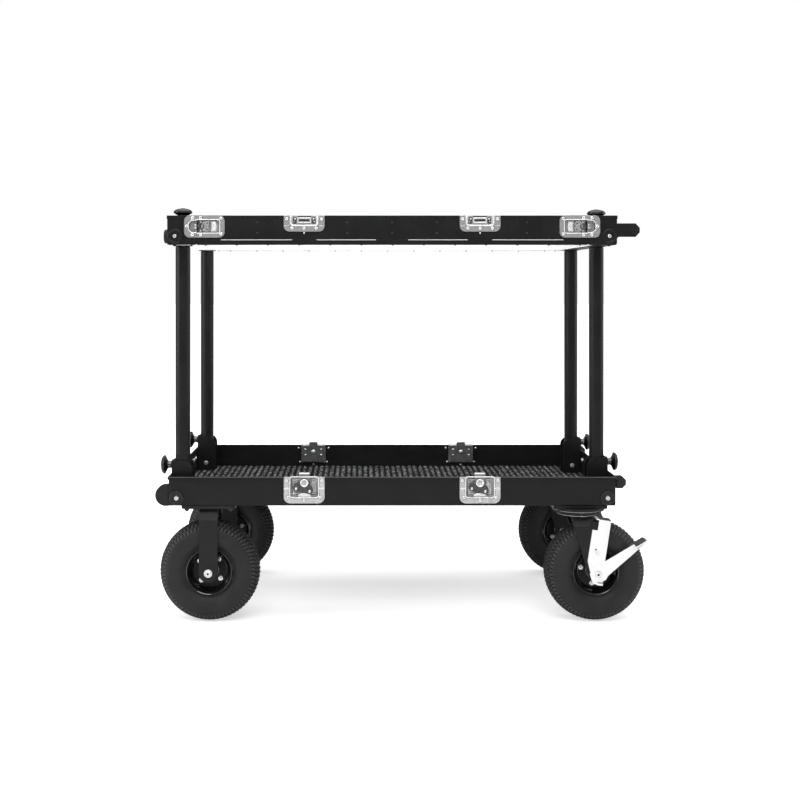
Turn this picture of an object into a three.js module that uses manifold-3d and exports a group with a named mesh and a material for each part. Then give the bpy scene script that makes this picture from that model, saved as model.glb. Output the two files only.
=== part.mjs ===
// A two-deck camera cart: a lower tray on four pneumatic casters, four folding masts, a lift-off upper deck.
// Millimetres, +X to the cart's right end, +Y to its rear, +Z up, the floor at z = 0.
import * as THREE from "three";
import { mergeVertices } from "three/addons/utils/BufferGeometryUtils.js";
import Module from "manifold-3d";

const wasm = await Module();
wasm.setup();

// Driving dimensions
const deckLength = 1146;
const deckWidth = 584;
const wheelRadius = 129;
const wheelRoom = 43.6;
const trayUnderZ = 2 * wheelRadius + wheelRoom;
const trayHeight = 73.9;
const deckRise = 664.9;
const deckUnderZ = trayUnderZ + deckRise;
const deckHeight = 74.9;
const tyreWidth = 84;
const mastRadius = 19.05;

// Clearances and cuts
const fit = 0.3;
const runningFit = 0.5;
const cutOverrun = 2;
const weldDistance = 0.001;

// Smoothness, in sides of a full circle
const tyreSides = 28;
const roundSides = 16;
const smallSides = 10;
const hexSides = 6;
const cornerSteps = 2;

// Lower tray
const sheet = 3;
const lipProud = 3;
const lipHeight = 7.6;
const trayTopZ = trayUnderZ + trayHeight;
const trayFloorZ = trayUnderZ + sheet;
const trayHalfLength = deckLength / 2 - lipProud;
const trayHalfWidth = deckWidth / 2 - lipProud;
const bossRadius = 19;
const bossProud = 4;
const lowerBossInset = 24;
const lowerBossRise = 20.4;
const lowerBossZ = trayUnderZ + lowerBossRise;

// Mat
const matThickness = 8;

// Feet and masts
const mastInset = 32;
const leftMastInset = 56;
const rightMastInset = 107;
const mastX = deckLength / 2 - mastInset;
const leftMastY = deckWidth / 2 - leftMastInset;
const rightMastY = deckWidth / 2 - rightMastInset;
const mastWall = 3;
const mastSeatGap = 0.6;
const seatThickness = 2;
const seatRadius = 27.5;
const mastEdge = 1.5;
const footLift = 9.3;
const pivotZ = trayFloorZ + footLift + mastRadius;
const mastLength = deckUnderZ - seatThickness - mastSeatGap - pivotZ;
const footPlugLength = 25;
const topPlugLength = 40;
const pivotBoltRadius = 5;
const clampBoreDepth = 30;
const bracketRise = 110.4;
const bracketTopZ = trayUnderZ + bracketRise;
const bracketWall = 5;
const bracketInnerReach = 27.5;
const bracketRound = 16;
const bracketBase = 4;
const pivotHeadRadius = 8;
const pivotHeadThickness = 3;

// Lock knobs
const lockRise = 97.4;
const lockZ = trayUnderZ + lockRise;
const lockPinRadius = 5;
const lockPinReach = 6;
const lockNose = 2;
const lockCollarRadius = 9;
const lockCollarLength = 3;
const lockStemGap = 11;
const lockHeadRadius = 22.8;
const lockHeadThickness = 17;

// Butterfly latches on the lower tray
const latchX = 224;
const flangeThickness = 1.5;
const latchFlangeWidth = 104;
const latchFlangeHeight = 67.5;
const latchCorner = 17;
const latchPanWidth = 74;
const latchPanDrop = 53.5;
const latchPanTopDrop = 2.5;
const latchPanDepth = 14;
const latchPanWall = 1.5;
const latchRingRadius = 10.5;
const latchRingDrop = 15.7;
const latchHookWidth = 27;
const latchHookRise = 9.5;
const hookSetback = 5.2;
const hookThickness = 4;
const hookFoot = 5;
const latchWingHalfWidth = 27;
const latchWingLength = 26.5;
const wingThickness = 3;
const wingSetback = 0.2;
const wingPinRadius = 1.6;
const wingEar = 3.6;
const wingEarRadius = 3.2;
const ringProud = 0.6;
const wingRingGap = 1.2;
const wingY = wingSetback + wingThickness / 2;

// Bumpers
const leftBumperRadius = 27.3;
const leftBumperAxisOut = 3.8;
const leftBumperRise = 27.4;
const leftBumperZ = trayUnderZ + leftBumperRise;
const bumperEndInset = 12;
const bumperEndLength = 22;
const bumperStripDepth = 10;
const bumperStripHeight = 18;
const rightBumperDepth = 25;
const rightBumperRise = 42.4;
const rightBumperLowZ = trayUnderZ + rightBumperRise;
const rightBumperHeight = 31.5;
const rightBumperChamfer = 10;

// Upper deck
const deckTopZ = deckUnderZ + deckHeight;
const housingLength = 75.5;
const seamX = deckLength / 2 - housingLength;
const plateProud = 1.8;
const deckHalfWidth = deckWidth / 2 - plateProud;
const railHeight = 11.5;
const padRise = 2.3;
const topTrayUnderZ = deckUnderZ + railHeight + padRise + fit;
const upperBossInset = 19.5;
const upperBossRise = 22.2;
const upperBossZ = deckUnderZ + upperBossRise;
const puckRadius = 18.25;
const puckThickness = 9.7;
const puckInset = 42;

// Corner latches across the seam between tray and housing
const cornerPlateWidth = 102.5;
const cornerPlateHeight = 56;
const cornerPlateCorner = 14;
const cornerPlateOverHousing = 31.7;
const cornerPanWidth = 84;
const cornerPanHeight = 36;
const cornerPanDepth = 10;
const cornerRingInset = 16.5;
const cornerRingRadius = 7.5;
const cornerWingHalfWidth = 14;
const cornerWingLength = 24;
const cornerKeeperWidth = 14;
const cornerKeeperLength = 9;

// Keeper half dishes at the top tray's rim
const keeperHeight = 41;
const keeperCorner = 14.5;
const keeperPanWidth = 70;
const keeperPanDrop = 31;
const keeperPanDepth = 10;
const keeperBarWidth = 32;
const keeperBarHeight = 6;
const keeperBarDrop = 10;

// Clamp knobs on the deck
const clampStudRadius = 5;
const clampStudReach = 20;
const clampHeadRadius = 25;
const clampHeadThickness = 21;

// Push handle
const handlePivotInset = 18.3;
const armThickness = 6;
const armSideGap = 0.7;
const armBelowPivot = 1.7;
const armHeight = 34.6;
const armBehindPivot = 12;
const armReach = 77;
const armChamfer = 11;
const armEyeRadius = 18;
const gripRadius = 12.7;
const gripAlong = 60.4;
const gripUp = 17.1;
const armSlotRise = 36.5;
const armSlotBehind = 2;

// Casters
const casterInset = 54;
const casterY = deckWidth / 2 - casterInset;
const rigidX = 469;
const swivelX = 481;
const swivelTrail = 42;
const casterPlateLength = 138;
const casterPlateWidth = 100;
const casterPlateThickness = 8;
const casterPlateCorner = 8;
const plateBoltRadius = 6;
const plateBoltInset = 13;
const plateBoltHead = 5;
const forkWall = 5;
const forkSideGap = 3.5;
const forkInner = tyreWidth / 2 + forkSideGap;
const forkOuter = forkInner + forkWall;
const crownHalfWidth = 34;
const shoulderDrop = 30;
const rigidLegHalf = 24;
const swivelLegBack = 24;
const swivelLegFront = 32;
const swivelEyeRadius = 23;
const raceGap = 0.3;
const plateCupRadius = 69;
const plateCupDepth = 7.3;
const forkRaceRadius = 64;
const forkRaceDepth = 9.4;
const kingPinRadius = 8;
const kingNutRadius = 13;
const kingNutThickness = 8;

// Wheels
const axleRadius = 8;
const axleHeadRadius = 11;
const axleHeadThickness = 7;
const axleNutRadius = 12;
const axleNutThickness = 8;
const rimRadius = 56;
const rimFlangeRadius = 61;
const rimFlangeThickness = 3;
const rimHalfWidth = 33;
const rimWall = 4;
const webHalf = 8;
const webFootRadius = 24;
const hubRadius = 20;
const beadGap = 0.3;

// Brakes
const brakeTilt = THREE.MathUtils.degToRad(8.8);
const strapThickness = 3;
const strapBack = 29.8;
const strapNotchBack = 16.5;
const strapFront = 13.8;
const strapNotchDrop = 20;
const strapNotchHeight = wheelRadius - strapNotchDrop;
const strapWaistHeight = 28;
const strapFoot = 20.6;
const strapFootFront = 17;
const strapFootBack = 10;
const treadGap = 5.8;
const strapTravel = 4.5;
const shoeThickness = 5;
const shoeBack = 24;
const shoeInward = 20;
const lugBack = 34;
const lugFront = 17.5;
const lugRise = 3;
const leverThickness = 4;
const leverReach = 119;
const leverRise = 92;
const pedalLength = 33;
const pedalOut = 26;
const pedalThickness = 3;
const pedalPadThickness = 6;
const pedalPadInset = 2;

// Outline shares
const wingShares = [
  [0.42, 0.07], [0.72, -0.06], [1, -0.42], [1, -0.8], [0.76, -1], [0.4, -0.94],
  [-0.4, -0.94], [-0.76, -1], [-1, -0.8], [-1, -0.42], [-0.72, -0.06], [-0.42, 0.07],
];
const leverShares = [
  [-0.175, 0.011], [-0.025, 0.217], [0.055, 0.272], [1, 1], [0.983, 0.815],
  [0.21, -0.05], [0.171, -0.152], [0.067, -0.217], [-0.039, -0.283], [-0.109, -0.261],
];
const treadShares = [[0.57, 0.976], [0.71, 1], [0.85, 0.905], [0.953, 0.643], [1, 0.286]];
const mushroomShares = [[0.3, 0], [0.42, 0.1], [0.93, 0.3], [1, 0.45], [0.93, 0.66], [0.6, 0.93], [0, 1]];
const padSpanShares = [[-1, -0.877], [-0.513, -0.387], [-0.083, 0.083], [0.387, 0.513], [0.877, 1]];

// Materials
const finish = (color, roughness, metalness) =>
  new THREE.MeshStandardMaterial({ color, roughness, metalness });
const blackPowder = finish(0x202022, 0.55, 0.3);
const blackTube = finish(0x1c1c1f, 0.4, 0.5);
const zinc = finish(0xc9cccf, 0.3, 1);
const brightSheet = finish(0xd4d6d8, 0.25, 1);
const darkSteel = finish(0x47484b, 0.45, 0.8);
const rubber = finish(0x1a1a1a, 0.85, 0);
const tyreRubber = finish(0x2e2e2f, 0.9, 0);
const matLoops = finish(0x3a3a3c, 1, 0);
const wheelPaint = finish(0x161617, 0.35, 0.4);

// A closed geometry as a solid: its seams are welded and its flat triangles dropped
function solidOf(geometry) {
  const bare = geometry.index ? geometry.toNonIndexed() : geometry.clone();
  bare.deleteAttribute("normal");
  bare.deleteAttribute("uv");
  const merged = mergeVertices(bare, weldDistance);
  const corners = merged.index.array;
  const kept = [];
  for (let i = 0; i < corners.length; i += 3) {
    const [a, b, c] = corners.slice(i, i + 3);
    if (a !== b && b !== c && c !== a) kept.push(a, b, c);
  }
  return new wasm.Manifold(
    new wasm.Mesh({
      numProp: 3,
      vertProperties: merged.attributes.position.array,
      triVerts: new Uint32Array(kept),
    }),
  );
}

const join = (...solids) => solids.reduce((whole, piece) => whole.add(piece));
const cut = (solid, ...tools) => tools.reduce((left, tool) => left.subtract(tool), solid);

// A block between two values on each axis
function block(xs, ys, zs) {
  const spans = [xs, ys, zs];
  const size = spans.map(([low, high]) => high - low);
  const middle = spans.map(([low, high]) => (low + high) / 2);
  return solidOf(new THREE.BoxGeometry(...size).translate(...middle));
}

// A geometry about +Y turned to lie along a direction from a point
function aimed(geometry, from, direction) {
  const up = new THREE.Vector3(0, 1, 0);
  const turn = new THREE.Quaternion().setFromUnitVectors(up, direction.clone().normalize());
  return solidOf(geometry.applyQuaternion(turn).translate(from.x, from.y, from.z));
}

// A round bar between two points
function rod(radius, start, end, sides = roundSides) {
  const from = new THREE.Vector3(...start);
  const span = new THREE.Vector3(...end).sub(from);
  const bar = new THREE.CylinderGeometry(radius, radius, span.length(), sides);
  return aimed(bar.translate(0, span.length() / 2, 0), from, span);
}

// A bore for a round pin, wide enough that its flats keep the clearance
function bore(pinRadius, start, end, clearance = fit) {
  return rod((pinRadius + clearance) / Math.cos(Math.PI / smallSides), start, end, smallSides);
}

// A profile of [radius, distance along] turned about a line from a point
function turned(profile, start, direction, sides = roundSides) {
  const points = profile.map(([radius, along]) => new THREE.Vector2(radius, along));
  const geometry = new THREE.LatheGeometry(points, sides);
  return aimed(geometry, new THREE.Vector3(...start), new THREE.Vector3(...direction));
}

// An outline of [across, up, corner radius] as a shape
function outlineOf(corners) {
  const shape = new THREE.Shape();
  corners.forEach(([x, y, round = 0], i) => {
    const here = new THREE.Vector2(x, y);
    const stepTo = ([otherX, otherY]) =>
      new THREE.Vector2(otherX, otherY).sub(here).setLength(round).add(here);
    const enter = stepTo(corners.at(i - 1));
    const leave = stepTo(corners[(i + 1) % corners.length]);
    if (i === 0) shape.moveTo(enter.x, enter.y);
    else shape.lineTo(enter.x, enter.y);
    if (round > 0) shape.quadraticCurveTo(x, y, leave.x, leave.y);
  });
  return shape;
}

// The three ways to lay an outline: its own across, up and depth directions in the model
const layings = {
  x: [[0, 1, 0], [0, 0, 1], [1, 0, 0]],
  y: [[1, 0, 0], [0, 0, 1], [0, -1, 0]],
  z: [[1, 0, 0], [0, 1, 0], [0, 0, 1]],
};

// An outline extruded along an axis between two values
function panel(corners, axis, [low, high]) {
  const depth = high - low;
  const geometry = new THREE.ExtrudeGeometry(outlineOf(corners), {
    depth,
    bevelEnabled: false,
    curveSegments: cornerSteps,
  });
  const basis = layings[axis].map((v) => new THREE.Vector3(...v));
  geometry.applyMatrix4(new THREE.Matrix4().makeBasis(...basis));
  const start = basis[2].clone().multiplyScalar(axis === "y" ? -high : low);
  return solidOf(geometry.translate(start.x, start.y, start.z));
}

const rectangle = (x0, x1, y0, y1, round = 0) => [
  [x0, y0, round], [x1, y0, round], [x1, y1, round], [x0, y1, round],
];
const span = (half) => [-half, half];

// A solid as a named mesh
function piece(name, solid, material) {
  const made = solid.getMesh();
  const geometry = new THREE.BufferGeometry();
  geometry.setAttribute("position", new THREE.BufferAttribute(made.vertProperties, 3));
  geometry.setIndex(new THREE.BufferAttribute(made.triVerts, 1));
  geometry.computeVertexNormals();
  const mesh = new THREE.Mesh(geometry, material);
  mesh.name = name;
  return mesh;
}

// Meshes placed together at a point, turned about +Z
function placed(x, y, z, turn, ...children) {
  const group = new THREE.Group();
  group.position.set(x, y, z);
  group.rotation.z = turn;
  children.forEach((child) => group.add(child));
  return group;
}

// The four masts' places: name, side of the cart, row, and the turn that makes +X point inward
const stations = [
  { name: "front_left", x: -mastX, y: -leftMastY, turn: 0 },
  { name: "rear_left", x: -mastX, y: leftMastY, turn: 0 },
  { name: "front_right", x: mastX, y: -rightMastY, turn: Math.PI },
  { name: "rear_right", x: mastX, y: rightMastY, turn: Math.PI },
];

// The four butterfly latches' places on the long sides, with -Y pointing out of the wall
const latchPlaces = [
  { name: "front_left", x: -latchX, y: -trayHalfWidth, turn: 0 },
  { name: "front_right", x: latchX, y: -trayHalfWidth, turn: 0 },
  { name: "rear_left", x: -latchX, y: trayHalfWidth, turn: Math.PI },
  { name: "rear_right", x: latchX, y: trayHalfWidth, turn: Math.PI },
];

// Lower tray: folded sheet with a proud lip, notched for the latches, and round end bosses
function lowerTray() {
  const innerX = trayHalfLength - sheet;
  const innerY = trayHalfWidth - sheet;
  const wallZ = [trayUnderZ, trayTopZ];
  const pan = block(span(trayHalfLength), span(trayHalfWidth), wallZ);
  const lip = block(span(deckLength / 2), span(deckWidth / 2), [trayTopZ - lipHeight, trayTopZ]);
  const inside = block(span(innerX), span(innerY), [trayFloorZ, trayTopZ + cutOverrun]);
  const bosses = [-1, 1].flatMap((side) =>
    [-1, 1].map((row) => {
      const x = side * (deckLength / 2 - lowerBossInset);
      const root = row * (trayHalfWidth - sheet / 2);
      return rod(bossRadius, [x, root, lowerBossZ], [x, row * (trayHalfWidth + bossProud), lowerBossZ]);
    }),
  );
  const notches = latchPlaces.flatMap(({ x, y }) => {
    const row = Math.sign(y);
    const across = (half) => [x - half - fit, x + half + fit];
    const outward = [row * trayHalfWidth, row * (deckWidth / 2 + cutOverrun)].sort((a, b) => a - b);
    const through = [row * (innerY - cutOverrun), outward[row < 0 ? 0 : 1]].sort((a, b) => a - b);
    const top = trayTopZ + cutOverrun;
    return [
      block(across(latchFlangeWidth / 2), outward, [trayTopZ - lipHeight - cutOverrun, top]),
      block(across(latchPanWidth / 2), through, [trayTopZ - latchPanDrop - fit, top]),
    ];
  });
  return cut(join(pan, lip, ...bosses), inside, ...notches);
}

// Mat on the lower tray's floor, cut out round the feet
function lowerMat() {
  const bottom = trayFloorZ + fit;
  const whole = block(
    span(trayHalfLength - sheet - runningFit),
    span(trayHalfWidth - sheet - runningFit),
    [bottom, bottom + matThickness],
  );
  const around = mastRadius + runningFit + bracketWall + pivotHeadThickness + runningFit;
  const holes = stations.map(({ x, y }) => {
    const side = Math.sign(x);
    const ends = [side * deckLength, x - side * (bracketInnerReach + runningFit)].sort((a, b) => a - b);
    return block(ends, [y - around, y + around], [trayUnderZ, trayTopZ]);
  });
  return cut(whole, ...holes);
}

// Foot bracket about the mast's pivot: two cheeks, an outer web with the lock pin's hole, and the pivot bolt
function footBracket() {
  const cheekIn = mastRadius + runningFit;
  const cheekOut = cheekIn + bracketWall;
  const webOut = trayHalfLength - sheet - fit - mastX;
  const floor = trayFloorZ + fit - pivotZ;
  const top = bracketTopZ - pivotZ;
  const lock = lockZ - pivotZ;
  const outline = [
    [-webOut, floor], [bracketInnerReach, floor], [bracketInnerReach, top, bracketRound], [-webOut, top],
  ];
  const shell = panel(outline, "y", span(cheekOut));
  const throatX = [-cheekIn, bracketInnerReach + cutOverrun];
  const throat = block(throatX, span(cheekIn), [floor + bracketBase, top + cutOverrun]);
  const collarEnd = [-webOut - lockCollarLength, 0, lock];
  const collar = rod(lockCollarRadius, [-cheekIn, 0, lock], collarEnd, smallSides);
  const pinHole = bore(lockPinRadius, [0, 0, lock], [-webOut - lockCollarLength - cutOverrun, 0, lock]);
  const headOut = cheekOut + pivotHeadThickness;
  const heads = [-1, 1].map((row) =>
    rod(pivotHeadRadius, [0, row * (cheekOut - cutOverrun), 0], [0, row * headOut, 0], smallSides),
  );
  const bolt = rod(pivotBoltRadius, [0, -cheekOut, 0], [0, cheekOut, 0], smallSides);
  const open = cut(shell, throat);
  const web = block([-webOut, -cheekIn], span(cheekIn), [floor, top]);
  return join(cut(join(open, web, collar), pinHole), bolt, ...heads);
}

// Mast about its pivot: a tube with a rounded foot, a cross bore, a lock hole and a bored top plug
function mast() {
  const lock = lockZ - pivotZ;
  const tube = turned(
    [
      [0, 0], [mastRadius, 0], [mastRadius, mastLength - mastEdge],
      [mastRadius - mastEdge, mastLength], [0, mastLength],
    ],
    [0, 0, 0],
    [0, 0, 1],
  );
  const upright = rod(mastRadius, [0, 0, -mastRadius], [0, 0, cutOverrun]);
  const foot = rod(mastRadius, [0, -mastRadius, 0], [0, mastRadius, 0]).intersect(upright);
  const hollowTop = [0, 0, mastLength - topPlugLength];
  const hollow = rod(mastRadius - mastWall, [0, 0, footPlugLength], hollowTop, smallSides);
  const crossBore = bore(pivotBoltRadius, [0, -mastRadius - cutOverrun, 0], [0, mastRadius + cutOverrun, 0]);
  const lockHole = bore(lockPinRadius, [0, 0, lock], [-mastRadius - cutOverrun, 0, lock]);
  const studBoreEnd = [0, 0, mastLength - clampBoreDepth];
  const studBore = bore(clampStudRadius, studBoreEnd, [0, 0, mastLength + cutOverrun]);
  return cut(join(tube, foot), hollow, crossBore, lockHole, studBore);
}

// The mushroom head that the lock and clamp knobs share, from its stem side at 0 to its crown
const mushroom = (radius, thickness) =>
  mushroomShares.map(([outShare, alongShare]) => [outShare * radius, alongShare * thickness]);

// Lock knob about the mast's pivot: pin through the web into the mast, stem and head outside
function lockKnob() {
  const lock = lockZ - pivotZ;
  const webOut = trayHalfLength - sheet - fit - mastX;
  const headFrom = webOut + lockCollarLength + lockStemGap;
  const pinEnd = mastRadius - lockPinReach;
  const profile = [
    [0, 0],
    [lockPinRadius - lockNose, 0],
    [lockPinRadius, lockNose],
    [lockPinRadius, headFrom - pinEnd],
    ...mushroom(lockHeadRadius, lockHeadThickness).map(([out, along]) => [out, along + headFrom - pinEnd]),
  ];
  return turned(profile, [-pinEnd, 0, lock], [-1, 0, 0], smallSides);
}

// Clamp knob on the mast's axis, from the deck's top face: head above, stud down through the housing
function clampKnob() {
  const studLength = deckHeight + clampStudReach;
  const head = mushroom(clampHeadRadius, clampHeadThickness);
  const profile = [
    [0, 0],
    [clampStudRadius, 0],
    [clampStudRadius, studLength + fit],
    ...head.map(([out, along]) => [out, along + studLength + fit]),
  ];
  return turned(profile, [0, 0, -studLength], [0, 0, 1], roundSides);
}

// Butterfly wing about its hinge line, hanging down the wall's face, cut clear of its ring, with two pin eyes
function butterfly(halfWidth, length, ringRadius) {
  const corners = wingShares.map(([acrossShare, upShare]) => [acrossShare * halfWidth, upShare * length]);
  const half = wingThickness / 2;
  const plate = panel(corners, "y", span(half));
  const roomRadius = ringRadius + wingRingGap;
  const ringRoom = rod(roomRadius, [0, -cutOverrun - half, 0], [0, cutOverrun + half, 0]);
  const eyeFrom = ringRadius + fit;
  const upperRoom = block(span(eyeFrom), span(half + cutOverrun), [0, length]);
  const eyes = [-1, 1].map((side) => {
    const eyeTo = eyeFrom + wingEar;
    const barrelEnd = [side * (eyeTo + wingEar / 2), 0, 0];
    const barrel = rod(wingEarRadius, [side * eyeFrom, 0, 0], barrelEnd, smallSides);
    const pinRoom = bore(wingPinRadius, [side * (eyeFrom - cutOverrun), 0, 0], [side * (eyeTo + fit), 0, 0]);
    return { barrel, pinRoom };
  });
  const body = join(cut(plate, ringRoom, upperRoom), ...eyes.map(({ barrel }) => barrel));
  return cut(body, ...eyes.map(({ pinRoom }) => pinRoom));
}

// Ring that the wing hangs on, with its two hinge stubs, from the hook behind it to its proud face
function wingRing(ringRadius, backY) {
  const ring = rod(ringRadius, [0, backY, 0], [0, -ringProud, 0]);
  const stub = ringRadius + fit + wingEar;
  return join(ring, rod(wingPinRadius, [-stub, wingY, 0], [stub, wingY, 0], smallSides));
}

// Latch dish at the tray's rim: flange outside the wall, open-topped pan through it, hook and ring inside
function latchDish() {
  const flangeOut = fit + flangeThickness;
  const flange = panel(
    [
      [-latchFlangeWidth / 2, 0],
      [-latchFlangeWidth / 2, -latchFlangeHeight, latchCorner],
      [latchFlangeWidth / 2, -latchFlangeHeight, latchCorner],
      [latchFlangeWidth / 2, 0],
    ],
    "y",
    [-flangeOut, -fit],
  );
  const panHalf = latchPanWidth / 2;
  const pan = block(span(panHalf), [-flangeOut, latchPanDepth], [-latchPanDrop, -latchPanTopDrop]);
  const room = block(
    span(panHalf - latchPanWall),
    [-flangeOut - cutOverrun, latchPanDepth - latchPanWall],
    [-latchPanDrop + latchPanWall, cutOverrun],
  );
  const hookHalf = latchHookWidth / 2;
  const hookFootZ = -latchRingDrop - latchRingRadius / 2;
  const hook = join(
    block(span(hookHalf), [hookSetback, hookSetback + hookThickness], [hookFootZ, latchHookRise]),
    block(span(hookHalf), [hookSetback, latchPanDepth], [hookFootZ, hookFootZ + hookFoot]),
  );
  const ringBack = hookSetback + hookThickness / 2;
  const ring = wingRing(latchRingRadius, ringBack).translate([0, 0, -latchRingDrop]);
  return join(cut(join(flange, pan), room), hook, ring);
}

// Left bumper: a short round buffer at each corner, flat against the tray's end, and a low strip between the two
function leftBumper() {
  const half = deckWidth / 2 - bumperEndInset;
  const axisX = -deckLength / 2 - leftBumperAxisOut;
  const buffers = [-half, half - bumperEndLength].map((y) =>
    rod(leftBumperRadius, [axisX, y, leftBumperZ], [axisX, y + bumperEndLength, leftBumperZ]));
  const back = -trayHalfLength - fit;
  const tray = block([back, 0], span(deckWidth), [0, trayTopZ]);
  const strip = block(
    [back - bumperStripDepth, back],
    span(half - bumperEndLength / 2),
    [leftBumperZ - bumperStripHeight, leftBumperZ],
  );
  return cut(join(...buffers, strip), tray);
}

// Right bumper: a chamfered buffer at each corner, seated on the lip, and a low strip between the two
function rightBumper() {
  const from = deckLength / 2 + fit;
  const to = from + rightBumperDepth;
  const low = rightBumperLowZ;
  const high = rightBumperLowZ + rightBumperHeight;
  const c = rightBumperChamfer;
  const outline = [
    [from, low], [to - c, low], [to, low + c], [to, high - c], [to - c, high], [from, high],
  ];
  const half = deckWidth / 2 - bumperEndInset;
  const buffers = [-half, half - bumperEndLength].map((y) => panel(outline, "y", [y, y + bumperEndLength]));
  const strip = block([from, from + bumperStripDepth], span(half - bumperEndLength / 2), [low, low + bumperStripHeight]);
  return join(...buffers, strip);
}

// Corner latch's plate and pan, in the frame of the seam: +X toward the housing, -Y out of the wall
function cornerDish(xs) {
  const plateX = [cornerPlateOverHousing - cornerPlateWidth, cornerPlateOverHousing];
  const panRight = cornerPlateOverHousing - (cornerPlateWidth - cornerPanWidth) / 2;
  const panX = [panRight - cornerPanWidth, panRight];
  const half = cornerPlateHeight / 2;
  const panHalf = cornerPanHeight / 2;
  const keep = block(xs, [-sheet, cornerPanDepth + sheet], span(half));
  const plateOutline = rectangle(...plateX, ...span(half), cornerPlateCorner);
  const plate = panel(plateOutline, "y", [-flangeThickness, 0]);
  const wall = flangeThickness;
  const panOuterX = [panX[0] - wall, panX[1] + wall];
  const pan = block(panOuterX, [-flangeThickness, cornerPanDepth], span(panHalf + wall));
  const room = block(panX, [-cutOverrun - wall, cornerPanDepth - wall], span(panHalf));
  return { solid: join(plate, pan).intersect(keep), room: room.intersect(keep) };
}

const cornerZ = deckTopZ - cornerPlateHeight / 2;

// The four corner latches' places: a frame at the seam on each long side, +X toward the housing
const cornerPlaces = [
  { name: "front_left", x: -seamX, y: -deckHalfWidth, side: -1, row: -1 },
  { name: "rear_left", x: -seamX, y: deckHalfWidth, side: -1, row: 1 },
  { name: "front_right", x: seamX, y: -deckHalfWidth, side: 1, row: -1 },
  { name: "rear_right", x: seamX, y: deckHalfWidth, side: 1, row: 1 },
];

// A solid of the seam frame brought to one corner by mirroring and moving
const atCorner = (solid, { x, y, side, row }) =>
  solid.scale([side, -row, 1]).translate([x, y, cornerZ]);

// A solid with one corner's dish let into it and a fitting placed in the dish
function fitted(solid, dish, fitting, place) {
  const dished = cut(join(solid, atCorner(dish.solid, place)), atCorner(dish.room, place));
  return join(dished, atCorner(fitting, place));
}

// End housing: a hollow box on the mast tops with round bosses and its share of the corner latches
function housing(side, mastY) {
  const outX = deckLength / 2;
  const xs = [seamX, outX];
  const box = block(xs, span(deckHalfWidth), [deckUnderZ, deckTopZ]);
  const inside = block(
    [seamX + sheet, outX - sheet],
    span(deckHalfWidth - sheet),
    [deckUnderZ + sheet, deckTopZ - sheet],
  );
  const seatUnderZ = deckUnderZ - seatThickness;
  const seats = [-1, 1].map((row) =>
    rod(seatRadius, [mastX, row * mastY, seatUnderZ], [mastX, row * mastY, deckUnderZ + sheet / 2]),
  );
  const studHoles = [-1, 1].map((row) =>
    bore(
      clampStudRadius,
      [mastX, row * mastY, seatUnderZ - cutOverrun],
      [mastX, row * mastY, deckTopZ + cutOverrun],
    ),
  );
  const bossX = outX - upperBossInset;
  const bosses = [-1, 1].map((row) =>
    rod(
      bossRadius,
      [bossX, row * (deckHalfWidth - sheet / 2), upperBossZ],
      [bossX, row * (deckHalfWidth + bossProud), upperBossZ],
    ),
  );
  const plain = cut(join(cut(join(box, ...bosses), inside), ...seats), ...studHoles);
  const turnedSide = plain.scale([side, 1, 1]);
  const dish = cornerDish([fit / 2, cornerPlateWidth]);
  const keeperX = cornerPlateOverHousing - (cornerPlateWidth - cornerPanWidth) / 2;
  const keeper = block(
    [keeperX - cornerKeeperLength, keeperX],
    [0, cornerPanDepth],
    span(cornerKeeperWidth / 2),
  );
  return cornerPlaces
    .filter((place) => place.side === side)
    .reduce((solid, place) => fitted(solid, dish, keeper, place), turnedSide);
}

// Left housing with its two puck bumpers
function leftHousing() {
  const endX = -deckLength / 2;
  const pucks = [-1, 1].map((row) => {
    const y = row * (deckWidth / 2 - puckInset);
    return rod(puckRadius, [endX + sheet / 2, y, upperBossZ], [endX - puckThickness, y, upperBossZ]);
  });
  return join(housing(-1, leftMastY), ...pucks);
}

const handlePivotX = deckLength / 2 - handlePivotInset;
const armOut = deckHalfWidth - sheet - armSideGap;
const armIn = armOut - armThickness;

// Right housing: slotted at both ends of its outer wall for the handle's arms, with a pivot pin for each
function rightHousing() {
  const slots = [-1, 1].map((row) =>
    block(
      [handlePivotX - armSlotBehind, deckLength / 2 + cutOverrun],
      [row * (armIn - armSideGap), row * (armOut + armSideGap)].sort((a, b) => a - b),
      [deckUnderZ - cutOverrun, upperBossZ + armSlotRise],
    ),
  );
  const pins = [-1, 1].map((row) =>
    rod(
      pivotBoltRadius,
      [handlePivotX, row * (armIn - armSideGap), upperBossZ],
      [handlePivotX, row * (deckHalfWidth - sheet / 2), upperBossZ],
      smallSides,
    ),
  );
  return join(cut(housing(1, rightMastY), ...slots), ...pins);
}

// Push handle about its pivot line: two flat arms and the grip tube between them
function pushHandle() {
  const low = -armBelowPivot;
  const high = low + armHeight;
  const outline = [
    [-armBehindPivot, low], [armReach - armChamfer, low], [armReach, low + armChamfer],
    [armReach, high - armChamfer], [armReach - armChamfer, high], [-armBehindPivot, high],
  ];
  const arms = [-1, 1].map((row) => {
    const ys = [row * armIn, row * armOut].sort((a, b) => a - b);
    const eye = rod(armEyeRadius, [0, ys[0], 0], [0, ys[1], 0]);
    const hole = bore(pivotBoltRadius, [0, ys[0] - cutOverrun, 0], [0, ys[1] + cutOverrun, 0]);
    return cut(join(panel(outline, "y", ys), eye), hole);
  });
  const grip = rod(gripRadius, [gripAlong, -armOut, gripUp], [gripAlong, armOut, gripUp]);
  return join(grip, ...arms);
}

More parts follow.
